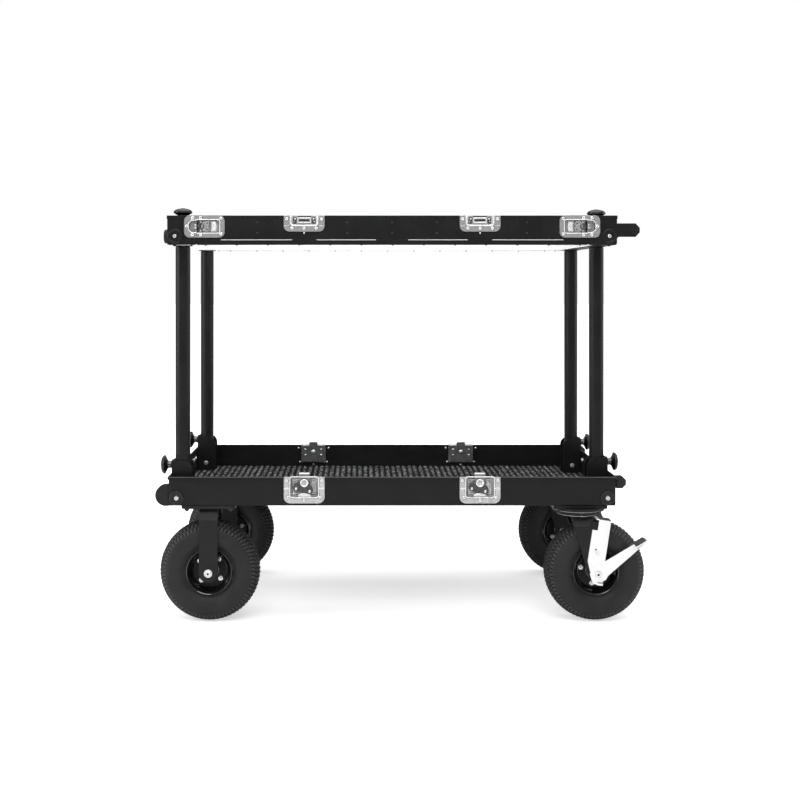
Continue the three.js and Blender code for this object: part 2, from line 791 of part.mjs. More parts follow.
// Deck platform between the housings: bottom sheet, front and rear rails, and spacer battens
function deckPlatform() {
  const ends = span(seamX - fit);
  const outY = deckHalfWidth;
  const railTop = deckUnderZ + railHeight;
  const bottom = block(ends, span(outY), [deckUnderZ, deckUnderZ + sheet]);
  const rails = [-1, 1].map((row) =>
    block(ends, [row * outY, row * (outY - sheet)].sort((a, b) => a - b), [deckUnderZ, railTop]),
  );
  const battens = padSpanShares.map((shares) => {
    const xs = shares.map((share) => share * (seamX - fit));
    return block(xs, span(outY), [deckUnderZ, railTop + padRise]);
  });
  return join(bottom, ...rails, ...battens);
}

// Top tray: open box with keeper half dishes at its rim and its share of the corner latches
function topTray() {
  const endX = seamX - fit;
  const walls = block(span(endX), span(deckHalfWidth), [topTrayUnderZ, deckTopZ]);
  const inside = block(
    span(endX - sheet),
    span(deckHalfWidth - sheet),
    [topTrayUnderZ + sheet, deckTopZ + cutOverrun],
  );
  const open = cut(walls, inside);
  const withKeepers = latchPlaces.reduce((solid, { x, y }) => {
    const row = Math.sign(y);
    const put = (item) => item.scale([1, -row, 1]).translate([x, row * deckHalfWidth, deckTopZ]);
    const { solid: dish, room, bar } = keeperDish();
    return join(cut(join(solid, put(dish)), put(room)), put(bar));
  }, open);
  const dish = cornerDish([-cornerPlateWidth, -fit]);
  const hookHalf = cornerWingHalfWidth / 2;
  const hook = block([-cornerRingInset, -runningFit], [hookSetback, cornerPanDepth], span(hookHalf));
  const ring = wingRing(cornerRingRadius, cornerPanDepth)
    .rotate([0, 90, 0])
    .translate([-cornerRingInset, 0, 0]);
  const fitting = join(hook, ring);
  return cornerPlaces.reduce((solid, place) => fitted(solid, dish, fitting, place), withKeepers);
}

// Keeper half dish hanging from the rim: flange, open-topped pan and the bar that a hook takes
function keeperDish() {
  const half = latchFlangeWidth / 2;
  const flange = panel(
    [[-half, 0], [-half, -keeperHeight, keeperCorner], [half, -keeperHeight, keeperCorner], [half, 0]],
    "y",
    [-flangeThickness, 0],
  );
  const panHalf = keeperPanWidth / 2;
  const wall = flangeThickness;
  const pan = block(span(panHalf + wall), [-flangeThickness, keeperPanDepth], [-keeperPanDrop - wall, 0]);
  const roomY = [-cutOverrun - wall, keeperPanDepth - wall];
  const room = block(span(panHalf), roomY, [-keeperPanDrop, cutOverrun]);
  const bar = block(
    span(keeperBarWidth / 2),
    [wall, keeperPanDepth],
    [-keeperBarDrop - keeperBarHeight, -keeperBarDrop],
  );
  return { solid: join(flange, pan), room, bar };
}

// Mat on the top tray's floor, clear of the latch pans in the walls
function topMat() {
  const bottom = topTrayUnderZ + sheet + fit;
  return block(
    span(seamX - fit - sheet - runningFit),
    span(deckHalfWidth - sheet - cornerPanDepth - runningFit),
    [bottom, bottom + matThickness],
  );
}

const axleZ = wheelRadius;
const plateUnderZ = trayUnderZ - fit - casterPlateThickness;

// Caster's top plate with four bolts, in the caster's own frame on the floor
function casterPlate() {
  const halfX = casterPlateLength / 2;
  const halfY = casterPlateWidth / 2;
  const plate = panel(
    rectangle(-halfX, halfX, -halfY, halfY, casterPlateCorner),
    "z",
    [plateUnderZ, trayUnderZ - fit],
  );
  const bolts = [-1, 1].flatMap((side) =>
    [-1, 1].map((row) => {
      const x = side * (halfX - plateBoltInset);
      const y = row * (halfY - plateBoltInset);
      const boltTop = [x, y, plateUnderZ + plateBoltHead];
      return rod(plateBoltRadius, [x, y, plateUnderZ - plateBoltHead], boltTop, hexSides);
    }),
  );
  return join(plate, ...bolts);
}

// Crown, shoulders and two legs of a fork, with holes for the axle
function forkBody(crownTopZ, [legFrom, legTo], trail, eyeRadius) {
  const shoulderZ = crownTopZ - shoulderDrop;
  const inner = crownHalfWidth - forkWall / 2;
  const outline = [
    [-forkOuter, shoulderZ], [-crownHalfWidth, crownTopZ], [crownHalfWidth, crownTopZ],
    [forkOuter, shoulderZ], [forkInner, shoulderZ], [inner, crownTopZ - forkWall - fit],
    [-inner, crownTopZ - forkWall - fit], [-forkInner, shoulderZ],
  ].reverse();
  const crown = panel(outline, "x", [legFrom, legTo]);
  const legs = [-1, 1].map((row) => {
    const ys = [row * forkInner, row * forkOuter].sort((a, b) => a - b);
    const leg = panel(
      [
        [trail - eyeRadius, axleZ], [trail + eyeRadius, axleZ],
        [legTo, shoulderZ + sheet / 2], [legFrom, shoulderZ + sheet / 2],
      ],
      "y",
      ys,
    );
    const eye = rod(eyeRadius, [trail, ys[0], axleZ], [trail, ys[1], axleZ]);
    const hole = bore(axleRadius, [trail, ys[0] - cutOverrun, axleZ], [trail, ys[1] + cutOverrun, axleZ]);
    return cut(join(leg, eye), hole);
  });
  return join(crown, ...legs);
}

// Rigid fork: top plate and straight fork in one
function rigidFork() {
  return join(casterPlate(), forkBody(plateUnderZ + fit, span(rigidLegHalf), 0, rigidLegHalf));
}

const cupUnderZ = plateUnderZ - plateCupDepth;
const raceTopZ = cupUnderZ - raceGap;
const crownTopZ = raceTopZ - forkRaceDepth;
const crownUnderZ = crownTopZ - forkWall - fit;

// Swivel plate: top plate, bearing cup, and the king pin with its nut
function swivelPlate() {
  const cup = rod(plateCupRadius, [0, 0, cupUnderZ], [0, 0, plateUnderZ + fit]);
  const nutTopZ = crownUnderZ - fit;
  const pin = rod(kingPinRadius, [0, 0, nutTopZ - kingNutThickness], [0, 0, plateUnderZ], smallSides);
  const nut = rod(kingNutRadius, [0, 0, nutTopZ - kingNutThickness], [0, 0, nutTopZ], hexSides);
  return join(casterPlate(), cup, pin, nut);
}

const strapIn = forkOuter + runningFit;
const strapOut = strapIn + strapThickness;
const leverIn = strapOut + runningFit;
const leverOut = leverIn + leverThickness;
const shoeUnder = wheelRadius + treadGap;
const lugTopZ = shoeUnder - strapTravel - runningFit;

// Swivel fork: raked fork, round race on its crown, and the brake strap's guide lug
function swivelFork() {
  const fork = forkBody(crownTopZ, [-swivelLegBack, swivelLegFront], swivelTrail, swivelEyeRadius);
  const middleRadius = (crownHalfWidth + forkRaceRadius) / 2;
  const race = turned(
    [
      [0, crownUnderZ + fit], [crownHalfWidth, crownUnderZ + fit],
      [middleRadius, (crownUnderZ + raceTopZ) / 2], [forkRaceRadius, raceTopZ - fit],
      [forkRaceRadius, raceTopZ], [0, raceTopZ],
    ],
    [0, 0, 0],
    [0, 0, 1],
  );
  const pinBore = bore(kingPinRadius, [0, 0, crownUnderZ - cutOverrun], [0, 0, raceTopZ + cutOverrun]);
  const lugZ = strapNotchHeight + lugRise;
  const lug = block([-lugBack, -lugFront], [-strapOut, -forkInner], [lugZ, lugTopZ])
    .rotate([0, THREE.MathUtils.radToDeg(brakeTilt), 0])
    .translate([swivelTrail, 0, axleZ]);
  return join(cut(join(fork, race), pinBore), lug);
}

// Axle bolt about the axle's middle: head on the outer side, nut on the inner side
function axle(headFrom) {
  const head = rod(axleHeadRadius, [0, -headFrom, 0], [0, -headFrom - axleHeadThickness, 0], hexSides);
  const nutFrom = forkOuter + fit;
  const shank = rod(axleRadius, [0, -headFrom, 0], [0, nutFrom, 0], smallSides);
  const nut = rod(axleNutRadius, [0, nutFrom, 0], [0, nutFrom + axleNutThickness, 0], hexSides);
  return join(head, shank, nut);
}

// Tyre about the wheel's middle: a closed ring whose tread facets touch the true radius, one underneath
function tyre() {
  const bead = rimHalfWidth - beadGap;
  const half = [
    [rimRadius + beadGap, bead],
    [rimFlangeRadius + beadGap, bead],
    ...treadShares.map(([out, across]) => [out * wheelRadius, (across * tyreWidth) / 2]),
  ].map(([radius, across]) => [radius / Math.cos(Math.PI / tyreSides), across]);
  const mirrored = half.map(([radius, across]) => [radius, -across]);
  const loop = [...mirrored, ...half.reverse()];
  const ring = turned([...loop, loop[0]], [0, 0, 0], [0, 1, 0], tyreSides);
  return ring.rotate([0, 180 / tyreSides, 0]);
}

// Wheel hub about the wheel's middle: bored hub tube, web, and rim with two flanges
function wheelHub() {
  const end = forkInner - runningFit;
  const flangeOut = rimHalfWidth + rimFlangeThickness;
  const rimInner = rimRadius - rimWall;
  const half = [
    [axleRadius + fit, end], [hubRadius, end], [webFootRadius, webHalf], [rimInner - rimWall, webHalf],
    [rimInner, flangeOut], [rimFlangeRadius, flangeOut],
    [rimFlangeRadius, rimHalfWidth], [rimRadius, rimHalfWidth],
  ];
  const mirrored = half.map(([radius, across]) => [radius, -across]);
  const loop = [...mirrored, ...half.reverse()];
  return turned([...loop, loop[0]], [0, 0, 0], [0, 1, 0], roundSides);
}

// Brake strap about the axle, along its own slide: slotted plate with the shoe over the tread
function brakeStrap() {
  const outline = [
    [-strapFootBack, -strapFoot], [strapFootFront, -strapFoot], [strapFront, strapWaistHeight],
    [strapFront, shoeUnder], [-strapNotchBack, shoeUnder], [-strapNotchBack, strapNotchHeight],
    [-strapBack, strapNotchHeight], [-strapBack, strapWaistHeight],
  ];
  const plate = panel(outline, "y", [-strapOut, -strapIn]);
  const shoeZ = [shoeUnder, shoeUnder + shoeThickness];
  const shoe = block([-shoeBack, strapFront], [-strapOut, shoeInward], shoeZ);
  const slotRadius = axleRadius + runningFit;
  const ends = [0, strapTravel + fit];
  const through = [-strapOut - cutOverrun, -strapIn + cutOverrun];
  const slot = join(
    block(span(slotRadius), through, ends),
    ...ends.map((z) => rod(slotRadius, [0, through[0], z], [0, through[1], z], smallSides)),
  );
  return cut(join(plate, shoe), slot);
}

// Brake lever about the axle: cranked plate, and the pedal flange with its rubber pad bent out at the tip
function brakeLever() {
  const corners = leverShares.map(([along, up]) => [along * leverReach, up * leverRise]);
  const plate = panel(corners, "y", [-leverOut, -leverIn]);
  const hole = bore(axleRadius, [0, -leverOut - cutOverrun, 0], [0, -leverIn + cutOverrun, 0]);
  const tip = corners[3];
  const back = corners[2];
  const slope = Math.atan2(tip[1] - back[1], tip[0] - back[0]);
  const out = -leverOut - pedalOut;
  const flange = block([-pedalLength, 0], [out, -leverIn], [-pedalThickness, 0]);
  const pad = block(
    [-pedalLength + pedalPadInset, -pedalPadInset],
    [out + pedalPadInset, -leverOut],
    [-pedalThickness / 2, pedalPadThickness],
  );
  const turnedUp = join(flange, pad).rotate([0, -THREE.MathUtils.radToDeg(slope), 0]);
  const pedal = turnedUp.translate([tip[0], 0, tip[1]]);
  return join(cut(plate, hole), pedal);
}

// Everything is placed about the middle of the decks, then moved to put the origin under the whole's middle
const rightReach = swivelX + swivelTrail + wheelRadius;
const leftReach = deckLength / 2 + leftBumperAxisOut + leftBumperRadius;
const cart = placed((leftReach - rightReach) / 2, 0, 0, 0);

cart.add(
  piece("lower_tray", lowerTray(), blackPowder),
  piece("lower_mat", lowerMat(), matLoops),
  piece("left_bumper", leftBumper(), rubber),
  piece("right_bumper", rightBumper(), rubber),
  piece("left_end_housing", leftHousing(), blackPowder),
  piece("right_end_housing", rightHousing(), blackPowder),
  piece("deck_platform", deckPlatform(), brightSheet),
  piece("top_tray", topTray(), blackPowder),
  piece("top_mat", topMat(), matLoops),
);
cart.add(placed(handlePivotX, 0, upperBossZ, 0, piece("push_handle", pushHandle(), blackPowder)));

for (const { name, x, y, turn } of stations) {
  cart.add(
    placed(
      x, y, pivotZ, turn,
      piece(`foot_bracket_${name}`, footBracket(), blackPowder),
      piece(`mast_${name}`, mast(), blackTube),
      piece(`lock_knob_${name}`, lockKnob(), rubber),
    ),
    placed(x, y, deckTopZ, 0, piece(`clamp_knob_${name}`, clampKnob(), rubber)),
  );
}

for (const { name, x, y, turn } of latchPlaces) {
  const wing = piece(
    `latch_wing_${name}`,
    butterfly(latchWingHalfWidth, latchWingLength, latchRingRadius),
    darkSteel,
  );
  wing.position.set(0, wingY, -latchRingDrop);
  cart.add(placed(x, y, trayTopZ, turn, piece(`latch_dish_${name}`, latchDish(), zinc), wing));
}

for (const place of cornerPlaces) {
  const wing = butterfly(cornerWingHalfWidth, cornerWingLength, cornerRingRadius)
    .rotate([0, 90, 0])
    .translate([-cornerRingInset, wingY, 0]);
  const mesh = piece(`corner_wing_${place.name}`, wing.scale([place.side, -place.row, 1]), darkSteel);
  mesh.position.set(place.x, place.y, cornerZ);
  cart.add(mesh);
}

// The casters: a wheel and an axle in each fork, mirrored front to rear so that the outer side faces out
for (const [row, rowName] of [[-1, "front"], [1, "rear"]]) {
  for (const [side, sideName] of [[-1, "left"], [1, "right"]]) {
    const name = `${rowName}_${sideName}`;
    const swivels = side > 0;
    const trail = swivels ? swivelTrail : 0;
    const wheel = placed(
      trail, 0, axleZ, 0,
      piece(`tyre_${name}`, tyre(), tyreRubber),
      piece(`wheel_hub_${name}`, wheelHub(), wheelPaint),
      piece(`axle_${name}`, axle(swivels ? leverOut + fit : forkOuter + fit), zinc),
    );
    const caster = placed(side * (swivels ? swivelX : rigidX), row * casterY, 0, 0, wheel);
    caster.scale.y = -row;
    if (swivels) {
      const strap = piece(`brake_strap_${name}`, brakeStrap(), zinc);
      strap.rotation.y = brakeTilt;
      wheel.add(strap, piece(`brake_lever_${name}`, brakeLever(), zinc));
      caster.add(
        piece(`swivel_plate_${name}`, swivelPlate(), blackPowder),
        piece(`swivel_fork_${name}`, swivelFork(), blackPowder),
      );
    } else {
      caster.add(piece(`rigid_fork_${name}`, rigidFork(), blackPowder));
    }
    cart.add(caster);
  }
}

export default cart;
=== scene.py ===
from math import atan2, cos, pi, radians, sin

import bmesh
import bpy
import numpy as np
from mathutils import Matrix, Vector, geometry


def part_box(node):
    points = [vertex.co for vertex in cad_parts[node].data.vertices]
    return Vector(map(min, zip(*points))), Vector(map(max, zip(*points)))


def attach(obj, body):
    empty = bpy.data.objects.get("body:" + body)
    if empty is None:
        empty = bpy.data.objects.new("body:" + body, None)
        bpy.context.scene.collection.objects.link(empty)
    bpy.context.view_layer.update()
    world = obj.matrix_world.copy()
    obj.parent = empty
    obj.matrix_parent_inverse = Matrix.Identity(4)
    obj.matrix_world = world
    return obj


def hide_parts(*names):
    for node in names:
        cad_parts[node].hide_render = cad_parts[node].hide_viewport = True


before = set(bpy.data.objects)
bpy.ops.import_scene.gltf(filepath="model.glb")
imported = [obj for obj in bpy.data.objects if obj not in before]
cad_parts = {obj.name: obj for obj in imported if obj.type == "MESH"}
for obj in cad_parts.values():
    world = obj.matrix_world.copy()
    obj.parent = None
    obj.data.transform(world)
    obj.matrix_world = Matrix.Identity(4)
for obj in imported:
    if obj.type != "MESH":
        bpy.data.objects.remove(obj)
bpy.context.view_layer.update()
print("frame loaded")

mm = 0.001
trayLow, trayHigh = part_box("lower_tray")
middleX = (trayLow.x + trayHigh.x) / 2  # the decks' middle; every size below is in mm from there


# lowest and highest corners of a node of the frame, in mm from the decks' middle
def boxOf(node):
    low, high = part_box(node)
    away = np.array([middleX, 0, 0])
    return (np.array(low) - away) / mm, (np.array(high) - away) / mm


# middle of a node's box, in the same frame
def middleOf(node):
    low, high = boxOf(node)
    return (low + high) / 2


rows = {"front": -1, "rear": 1}
sides = {"left": -1, "right": 1}
corners = [(row, side) for row in rows for side in sides]


# shapes: each is (points in mm, faces), worked out as whole arrays


# skin over rings of points: quads between neighbouring rings; loop joins the last ring to the first
def loft(rings, caps=True, loop=False):
    rings = np.asarray(rings, float)
    count, around = rings.shape[:2]
    i = np.arange(count if loop else count - 1)[:, None]
    j = np.arange(around)[None, :]
    k = (j + 1) % around
    up = (i + 1) % count
    quads = np.stack([i * around + j, i * around + k, up * around + k, up * around + j], -1)
    faces = quads.reshape(-1, 4).tolist()
    if caps and not loop:
        faces += [list(range(around))[::-1], list(range((count - 1) * around, count * around))]
    return rings.reshape(-1, 3), faces


# two directions square to an axis
def squareTo(axis):
    axis = np.asarray(axis, float) / np.linalg.norm(axis)
    side = np.cross([0, 0, 1.0] if abs(axis[2]) < 0.9 else [0, 1.0, 0], axis)
    side /= np.linalg.norm(side)
    return axis, side, np.cross(axis, side)


# profile [radius, along] turned about an axis: origin + along*axis + radius*(side cos u + up sin u)
def lathe(profile, origin, axis, steps=48, loop=False, phase=0.0):
    axis, side, up = squareTo(axis)
    profile = np.asarray(profile, float)
    u = np.linspace(0, 2 * pi, steps, endpoint=False) + phase
    spoke = np.cos(u)[:, None] * side + np.sin(u)[:, None] * up
    rings = np.asarray(origin, float) + profile[:, 1, None, None] * axis + profile[:, 0, None, None] * spoke
    return loft(rings, loop=loop)


# outline with its corners [x, y, radius] turned into arcs, each from one tangent point to the other
def rounded(outline, steps=6):
    points = np.array([p[:2] for p in outline], float)
    radii = [p[2] if len(p) > 2 else 0 for p in outline]
    made = []
    for i, (here, radius) in enumerate(zip(points, radii)):
        if radius <= 0:
            made.append(here[None])
            continue
        back = points[i - 1] - here
        ahead = points[(i + 1) % len(points)] - here
        back /= np.linalg.norm(back)
        ahead /= np.linalg.norm(ahead)
        half = np.arccos(np.clip(back @ ahead, -1, 1)) / 2
        centre = here + (back + ahead) / np.linalg.norm(back + ahead) * radius / np.sin(half)
        start = here + back * radius / np.tan(half) - centre
        end = here + ahead * radius / np.tan(half) - centre
        swing = pi - 2 * half
        k = np.linspace(0, 1, steps + 1)[:, None]
        made.append(centre + (np.sin((1 - k) * swing) * start + np.sin(k * swing) * end) / np.sin(swing))
    return np.concatenate(made)


# outline moved inwards by a distance along each corner's mitre; a run of edges that this turns back to front
# closes up to the point where the lines of its two neighbours meet
def inset(outline, distance):
    edge = np.roll(outline, -1, 0) - outline
    along = edge / np.maximum(np.linalg.norm(edge, axis=1, keepdims=True), 1e-9)
    out = np.stack([along[:, 1], -along[:, 0]], 1)
    before = np.roll(out, 1, 0)
    mitre = (out + before) / np.maximum(1 + (out * before).sum(1, keepdims=True), 0.3)
    made = outline - mitre * distance
    turned = ((np.roll(made, -1, 0) - made) * edge).sum(1) < -1e-12
    if not turned.any() or turned.all():
        return made
    count = len(outline)
    order = [(int(np.argmin(turned)) + k) % count for k in range(count)]
    run = []
    for index in order[1:] + order[:1]:
        if turned[index]:
            run.append(index)
            continue
        if run:
            first, last = (run[0] - 1) % count, index
            start, end = (outline[e] - out[e] * distance for e in (first, last))
            (ax, ay), (bx, by) = along[first], along[last]
            cross = ax * by - ay * bx
            if abs(cross) > 1e-6:
                share = ((end[0] - start[0]) * by - (end[1] - start[1]) * bx) / cross
                made[run + [last]] = start + along[first] * share
            else:
                made[run + [last]] = made[run + [last]].mean(0)
            run = []
    return made


# which points lie inside an outline, by counting the edges that a ray crosses
def within(points, outline):
    a, b = outline, np.roll(outline, -1, 0)
    x, y = points[:, 0, None], points[:, 1, None]
    spans = (a[:, 1] > y) != (b[:, 1] > y)
    rise = np.where(a[:, 1] == b[:, 1], 1e-12, b[:, 1] - a[:, 1])
    crossing = a[:, 0] + (y - a[:, 1]) / rise * (b[:, 0] - a[:, 0])
    return (spans & (x < crossing)).sum(1) % 2 == 1


# the ways to lay a flat outline: where its own x, y and thickness point
lays = {
    "x": np.array([[0, 1, 0], [0, 0, 1], [1, 0, 0]], float),
    "y": np.array([[1, 0, 0], [0, 0, 1], [0, 1, 0]], float),
    "z": np.array([[1, 0, 0], [0, 1, 0], [0, 0, 1]], float),
}
frontward, backward, upward, downward = (0, -1, 0), (0, 1, 0), (0, 0, 1), (0, 0, -1)


# outline run counterclockwise: twice its area is the sum of x*y' - x'*y over neighbouring points
def counterclockwise(outline):
    x, y = outline[:, 0], outline[:, 1]
    area = (x * np.roll(y, -1) - np.roll(x, -1) * y).sum()
    return outline if area > 0 else outline[::-1]


# unit normals in the plane of a path, to the right of its run; a closed path is measured across each point
def rightward(path, closed=False):
    ahead = np.roll(path, -1, 0) - np.roll(path, 1, 0) if closed else np.gradient(path, axis=0)
    ahead /= np.linalg.norm(ahead, axis=1, keepdims=True)
    return np.stack([ahead[:, 1], -ahead[:, 0]], 1)


# the same normals, all turned to the side that leads away from a centre
def awayFrom(path, centre):
    normal = rightward(path)
    inwards = ((path + normal - centre) ** 2).sum() < ((path - centre) ** 2).sum()
    return -normal if inwards else normal


# section [outward, depth] carried along a path in X and Z: path + outward*normal, with its depth along Y
def pressedWall(path, section, normal, loop=False):
    flat = path[:, None] + section[None, :, :1] * normal[:, None]
    deep = np.broadcast_to(section[None, :, 1:], flat.shape[:2] + (1,))
    return loft(np.concatenate([flat[..., :1], deep, flat[..., 1:]], -1), loop=loop)


# ridge along a path in X and Z: an ellipse [half cos t, y - height sin t] about each point of the path
def ridge(path, y, half, height, closed=False, sides=10):
    path = np.asarray(path, float)
    if closed:
        path = path[np.linalg.norm(path - np.roll(path, 1, 0), axis=1) > 1e-4]
    t = np.linspace(0, 2 * pi, sides, endpoint=False)
    section = np.column_stack([half * np.cos(t), y - height * np.sin(t)])
    return pressedWall(path, section, rightward(path, closed), closed)


# plate between two levels with round edges: rings inset by bevel*(1 - sin t) at bevel*(1 - cos t)
def slab(outline, lay, low, high, bevel=0.6, steps=2, holes=()):
    t = np.linspace(0, pi / 2, steps + 1)
    inward, rise = bevel * (1 - np.sin(t)), bevel * (1 - np.cos(t))
    levels = np.concatenate([low + rise, (high - rise)[::-1]])
    insets = np.concatenate([inward, inward[::-1]])
    loops = [(counterclockwise(np.asarray(outline, float)), 1)]
    loops += [(counterclockwise(np.asarray(hole, float)), -1) for hole in holes]
    points, faces, caps = [], [], [[], []]
    count = 0
    for loop, sign in loops:
        flat = [inset(loop, sign * d) for d in insets]
        rings = np.stack([np.column_stack([ring, np.full(len(ring), z)]) for ring, z in zip(flat, levels)])
        ringPoints, ringFaces = loft(rings, caps=False)
        faces += [[index + count for index in face] for face in ringFaces]
        around = len(loop)
        caps[0].append((flat[0], count + np.arange(around)))
        caps[1].append((flat[-1], count + (len(levels) - 1) * around + np.arange(around)))
        points.append(ringPoints)
        count += len(ringPoints)
    for cap in caps:
        flat = np.concatenate([c[0] for c in cap])
        index = np.concatenate([c[1] for c in cap])
        edge = np.roll(flat, -1, 0) - flat
        bend = edge[:, 0] * np.roll(edge[:, 1], -1) - edge[:, 1] * np.roll(edge[:, 0], -1)
        if len(cap) == 1 and bend.min() > -1e-6:
            faces.append(index.tolist())
            continue
        edges, start = [], 0
        for loop, _ in cap:
            n = len(loop)
            edges += [(start + i, start + (i + 1) % n) for i in range(n)]
            start += n
        result = geometry.delaunay_2d_cdt([Vector(p) for p in flat], edges, [], 1, 1e-7)
        triangles = np.array(result[2])
        made = np.array([v[:] for v in result[0]])
        home = ((made[:, None] - flat[None]) ** 2).sum(-1).argmin(1)
        middle = made[triangles].mean(1)
        ends = home[triangles]
        keep = ~np.any([within(middle, hole[0]) for hole in cap[1:]], axis=0)
        keep &= (ends != np.roll(ends, 1, 1)).all(1)
        faces += index[ends[keep]].tolist()
    return np.concatenate(points) @ lays[lay], faces


# rectangle with round corners
def rectangle(x0, x1, y0, y1, radius=0.0, steps=5):
    return rounded([[x0, y0, radius], [x1, y0, radius], [x1, y1, radius], [x0, y1, radius]], steps)


# outline hanging from its top edge, wider by the taper below, with radii for its upper and lower corners
def hanging(half, top, bottom, upper, lower, steps, taper=0):
    wide = half + taper
    return rounded([[-half, top, upper], [-wide, bottom, lower], [wide, bottom, lower], [half, top, upper]], steps)


# box with bevelled edges
def block(x0, x1, y0, y1, z0, z1, bevel=0.6):
    return slab(rectangle(x0, x1, y0, y1, bevel, 2), "z", z0, z1, bevel)


# round bar between two points, its ends chamfered by the bevel
def bar(radius, start, end, steps=32, bevel=0.5):
    start, end = np.asarray(start, float), np.asarray(end, float)
    length, core = np.linalg.norm(end - start), radius - bevel
    profile = [[0, 0], [core, 0], [radius, bevel], [radius, length - bevel], [core, length], [0, length]]
    return lathe(profile, start, end - start, steps)


# section [outward, z] carried along a path in plan: path + outward*normal, at its own height
def carried(section, path, normals):
    section, path, normals = (np.asarray(a, float) for a in (section, path, normals))
    flat = path[:, None] + section[None, :, :1] * normals[:, None]
    height = np.broadcast_to(section[None, :, 1:], flat.shape[:2] + (1,))
    return loft(np.concatenate([flat, height], -1))


# shape turned by rows of a matrix and moved
def moved(shape, place=(0, 0, 0), turn=None, scale=(1, 1, 1)):
    points = shape[0] * np.asarray(scale, float)
    if turn is not None:
        points = points @ np.asarray(turn, float).T
    return points + np.asarray(place, float), shape[1]


# shapes moved together
def placed(shapes, place=(0, 0, 0), turn=None, scale=(1, 1, 1)):
    return [moved(s, place, turn, scale) for s in shapes]


# turn about Z, as rows of a matrix
def aboutZ(angle):
    return [[cos(angle), -sin(angle), 0], [sin(angle), cos(angle), 0], [0, 0, 1]]


# turn about Y, as rows of a matrix
def aboutY(angle):
    return [[cos(angle), 0, sin(angle)], [0, 1, 0], [-sin(angle), 0, cos(angle)]]


# chamfered hexagon on a washer, its seat at the place
def hexHead(place, axis, radius, height, phase=0.0):
    chamfer = radius * 0.12
    profile = [[0, 0], [radius, 0], [radius, height - chamfer], [radius - chamfer, height], [0, height]]
    washer = [[0, -0.4], [radius * 1.35, -0.4], [radius * 1.35, 0.9], [radius * 1.28, 1.1], [0, 1.1]]
    return [lathe(profile, place, axis, 6, phase=phase), lathe(washer, place, axis, 24)]


# dome head: [radius cos t, height sin t], its seat at the place
def dome(place, axis, radius, height, steps=14):
    t = np.linspace(0, pi / 2, 5)
    profile = np.column_stack([radius * np.cos(t), height * np.sin(t)])
    return lathe(np.concatenate([[[0, -0.5], [radius, -0.5]], profile]), place, axis, steps)


# round head with a socket sunk in it, its seat at the place
def socketScrew(place, axis, radius, height, steps=24):
    hole, deep = radius * 0.45, height * 0.75
    profile = [
        [0, -0.5], [radius, -0.5], [radius, height * 0.55], [radius * 0.8, height * 0.95], [hole * 1.2, height],
        [hole, height * 0.95], [hole * 0.9, height - deep], [0, height - deep],
    ]
    return lathe(profile, place, axis, steps)


# a wrapped socket of a shader node, so that masks and tones are written as sums
class Wire:
    def __init__(self, net, socket):
        self.net, self.socket = net, socket

    def sum(self, operation, first, second):
        return self.net.node("ShaderNodeMath", {"operation": operation}, {0: first, 1: second})

    def __add__(self, other):
        return self.sum("ADD", self, other)

    def __rsub__(self, other):
        return self.sum("SUBTRACT", other, self)

    def __mul__(self, other):
        return self.sum("MULTIPLY", self, other)

    def __getitem__(self, name):
        return Wire(self.net, self.socket.node.outputs[name])


# the nodes of one material
class Net:
    def __init__(self, name):
        self.material = bpy.data.materials.new(name)
        self.material.use_nodes = True
        self.tree = self.material.node_tree
        self.tree.nodes.clear()
        self.coordinate = self.node("ShaderNodeTexCoord")["Object"]

    # one maker for every node: its type, its settings, then the values or wires of its sockets
    def node(self, kind, settings={}, inputs={}):
        made = self.tree.nodes.new(kind)
        for key, value in settings.items():
            setattr(made, key, value)
        for key, value in inputs.items():
            if isinstance(value, Wire):
                self.tree.links.new(value.socket, made.inputs[key])
            else:
                made.inputs[key].default_value = value
        return Wire(self, next((s for s in made.outputs if s.enabled), None)) if made.outputs else made

    # noise over the piece's own coordinates, stretched along an axis where that is wanted
    def noise(self, scale, detail=4.0, roughness=0.55, stretch=(1, 1, 1)):
        spot = self.node("ShaderNodeMapping", {}, {"Vector": self.coordinate, "Scale": stretch})
        return self.node("ShaderNodeTexNoise", {}, {
            "Vector": spot, "Scale": scale, "Detail": detail, "Roughness": roughness})

    # a value spread from one range to another and held there
    def spread(self, value, low, high, to=(0.0, 1.0)):
        return self.node("ShaderNodeMapRange", {"clamp": True}, {
            "Value": value, "From Min": low, "From Max": high, "To Min": to[0], "To Max": to[1]})

    # colour between two by a factor
    def blend(self, factor, first, second):
        return self.node("ShaderNodeMix", {"data_type": "RGBA"}, {0: factor, 6: first, 7: second})

    # normal bent by a height, in metres at full strength
    def bump(self, height, distance, strength=1.0):
        return self.node("ShaderNodeBump", {}, {"Height": height, "Distance": distance, "Strength": strength})

    # the finished material
    def skin(self, inputs):
        shader = self.node("ShaderNodeBsdfPrincipled", {}, inputs)
        self.node("ShaderNodeOutputMaterial", {}, {"Surface": shader})
        return self.material


# grey with its red raised and its blue lowered by a share
def grey(value, warm=0.0):
    return (value * (1 + warm), value, value * (1 - warm), 1.0)


# black coat: a fine orange peel in the bump, cloudy roughness, faint dust where the large noise is high
def powderCoat(name, tone=0.0075, roughness=0.4, depth=0.00004, specular=0.22, grain=2600):
    net = Net(name)
    cloud = net.noise(14, 3)
    peel = net.noise(grain / 4, 2) + net.noise(grain, 1) * 0.5
    speck = net.spread(net.noise(grain / 2, 1), 0.66, 0.72)
    dust = net.spread(cloud, 0.45, 0.75) * 0.35 + speck * 0.5
    return net.skin({
        "Base Color": net.blend(dust, grey(tone, -0.03), grey(tone * 2.2, -0.02)),
        "Roughness": net.spread(cloud, 0.3, 0.7, (roughness - 0.05, roughness + 0.07)),
        "Specular IOR Level": specular,
        "Normal": net.bump(peel, depth, 0.8),
    })


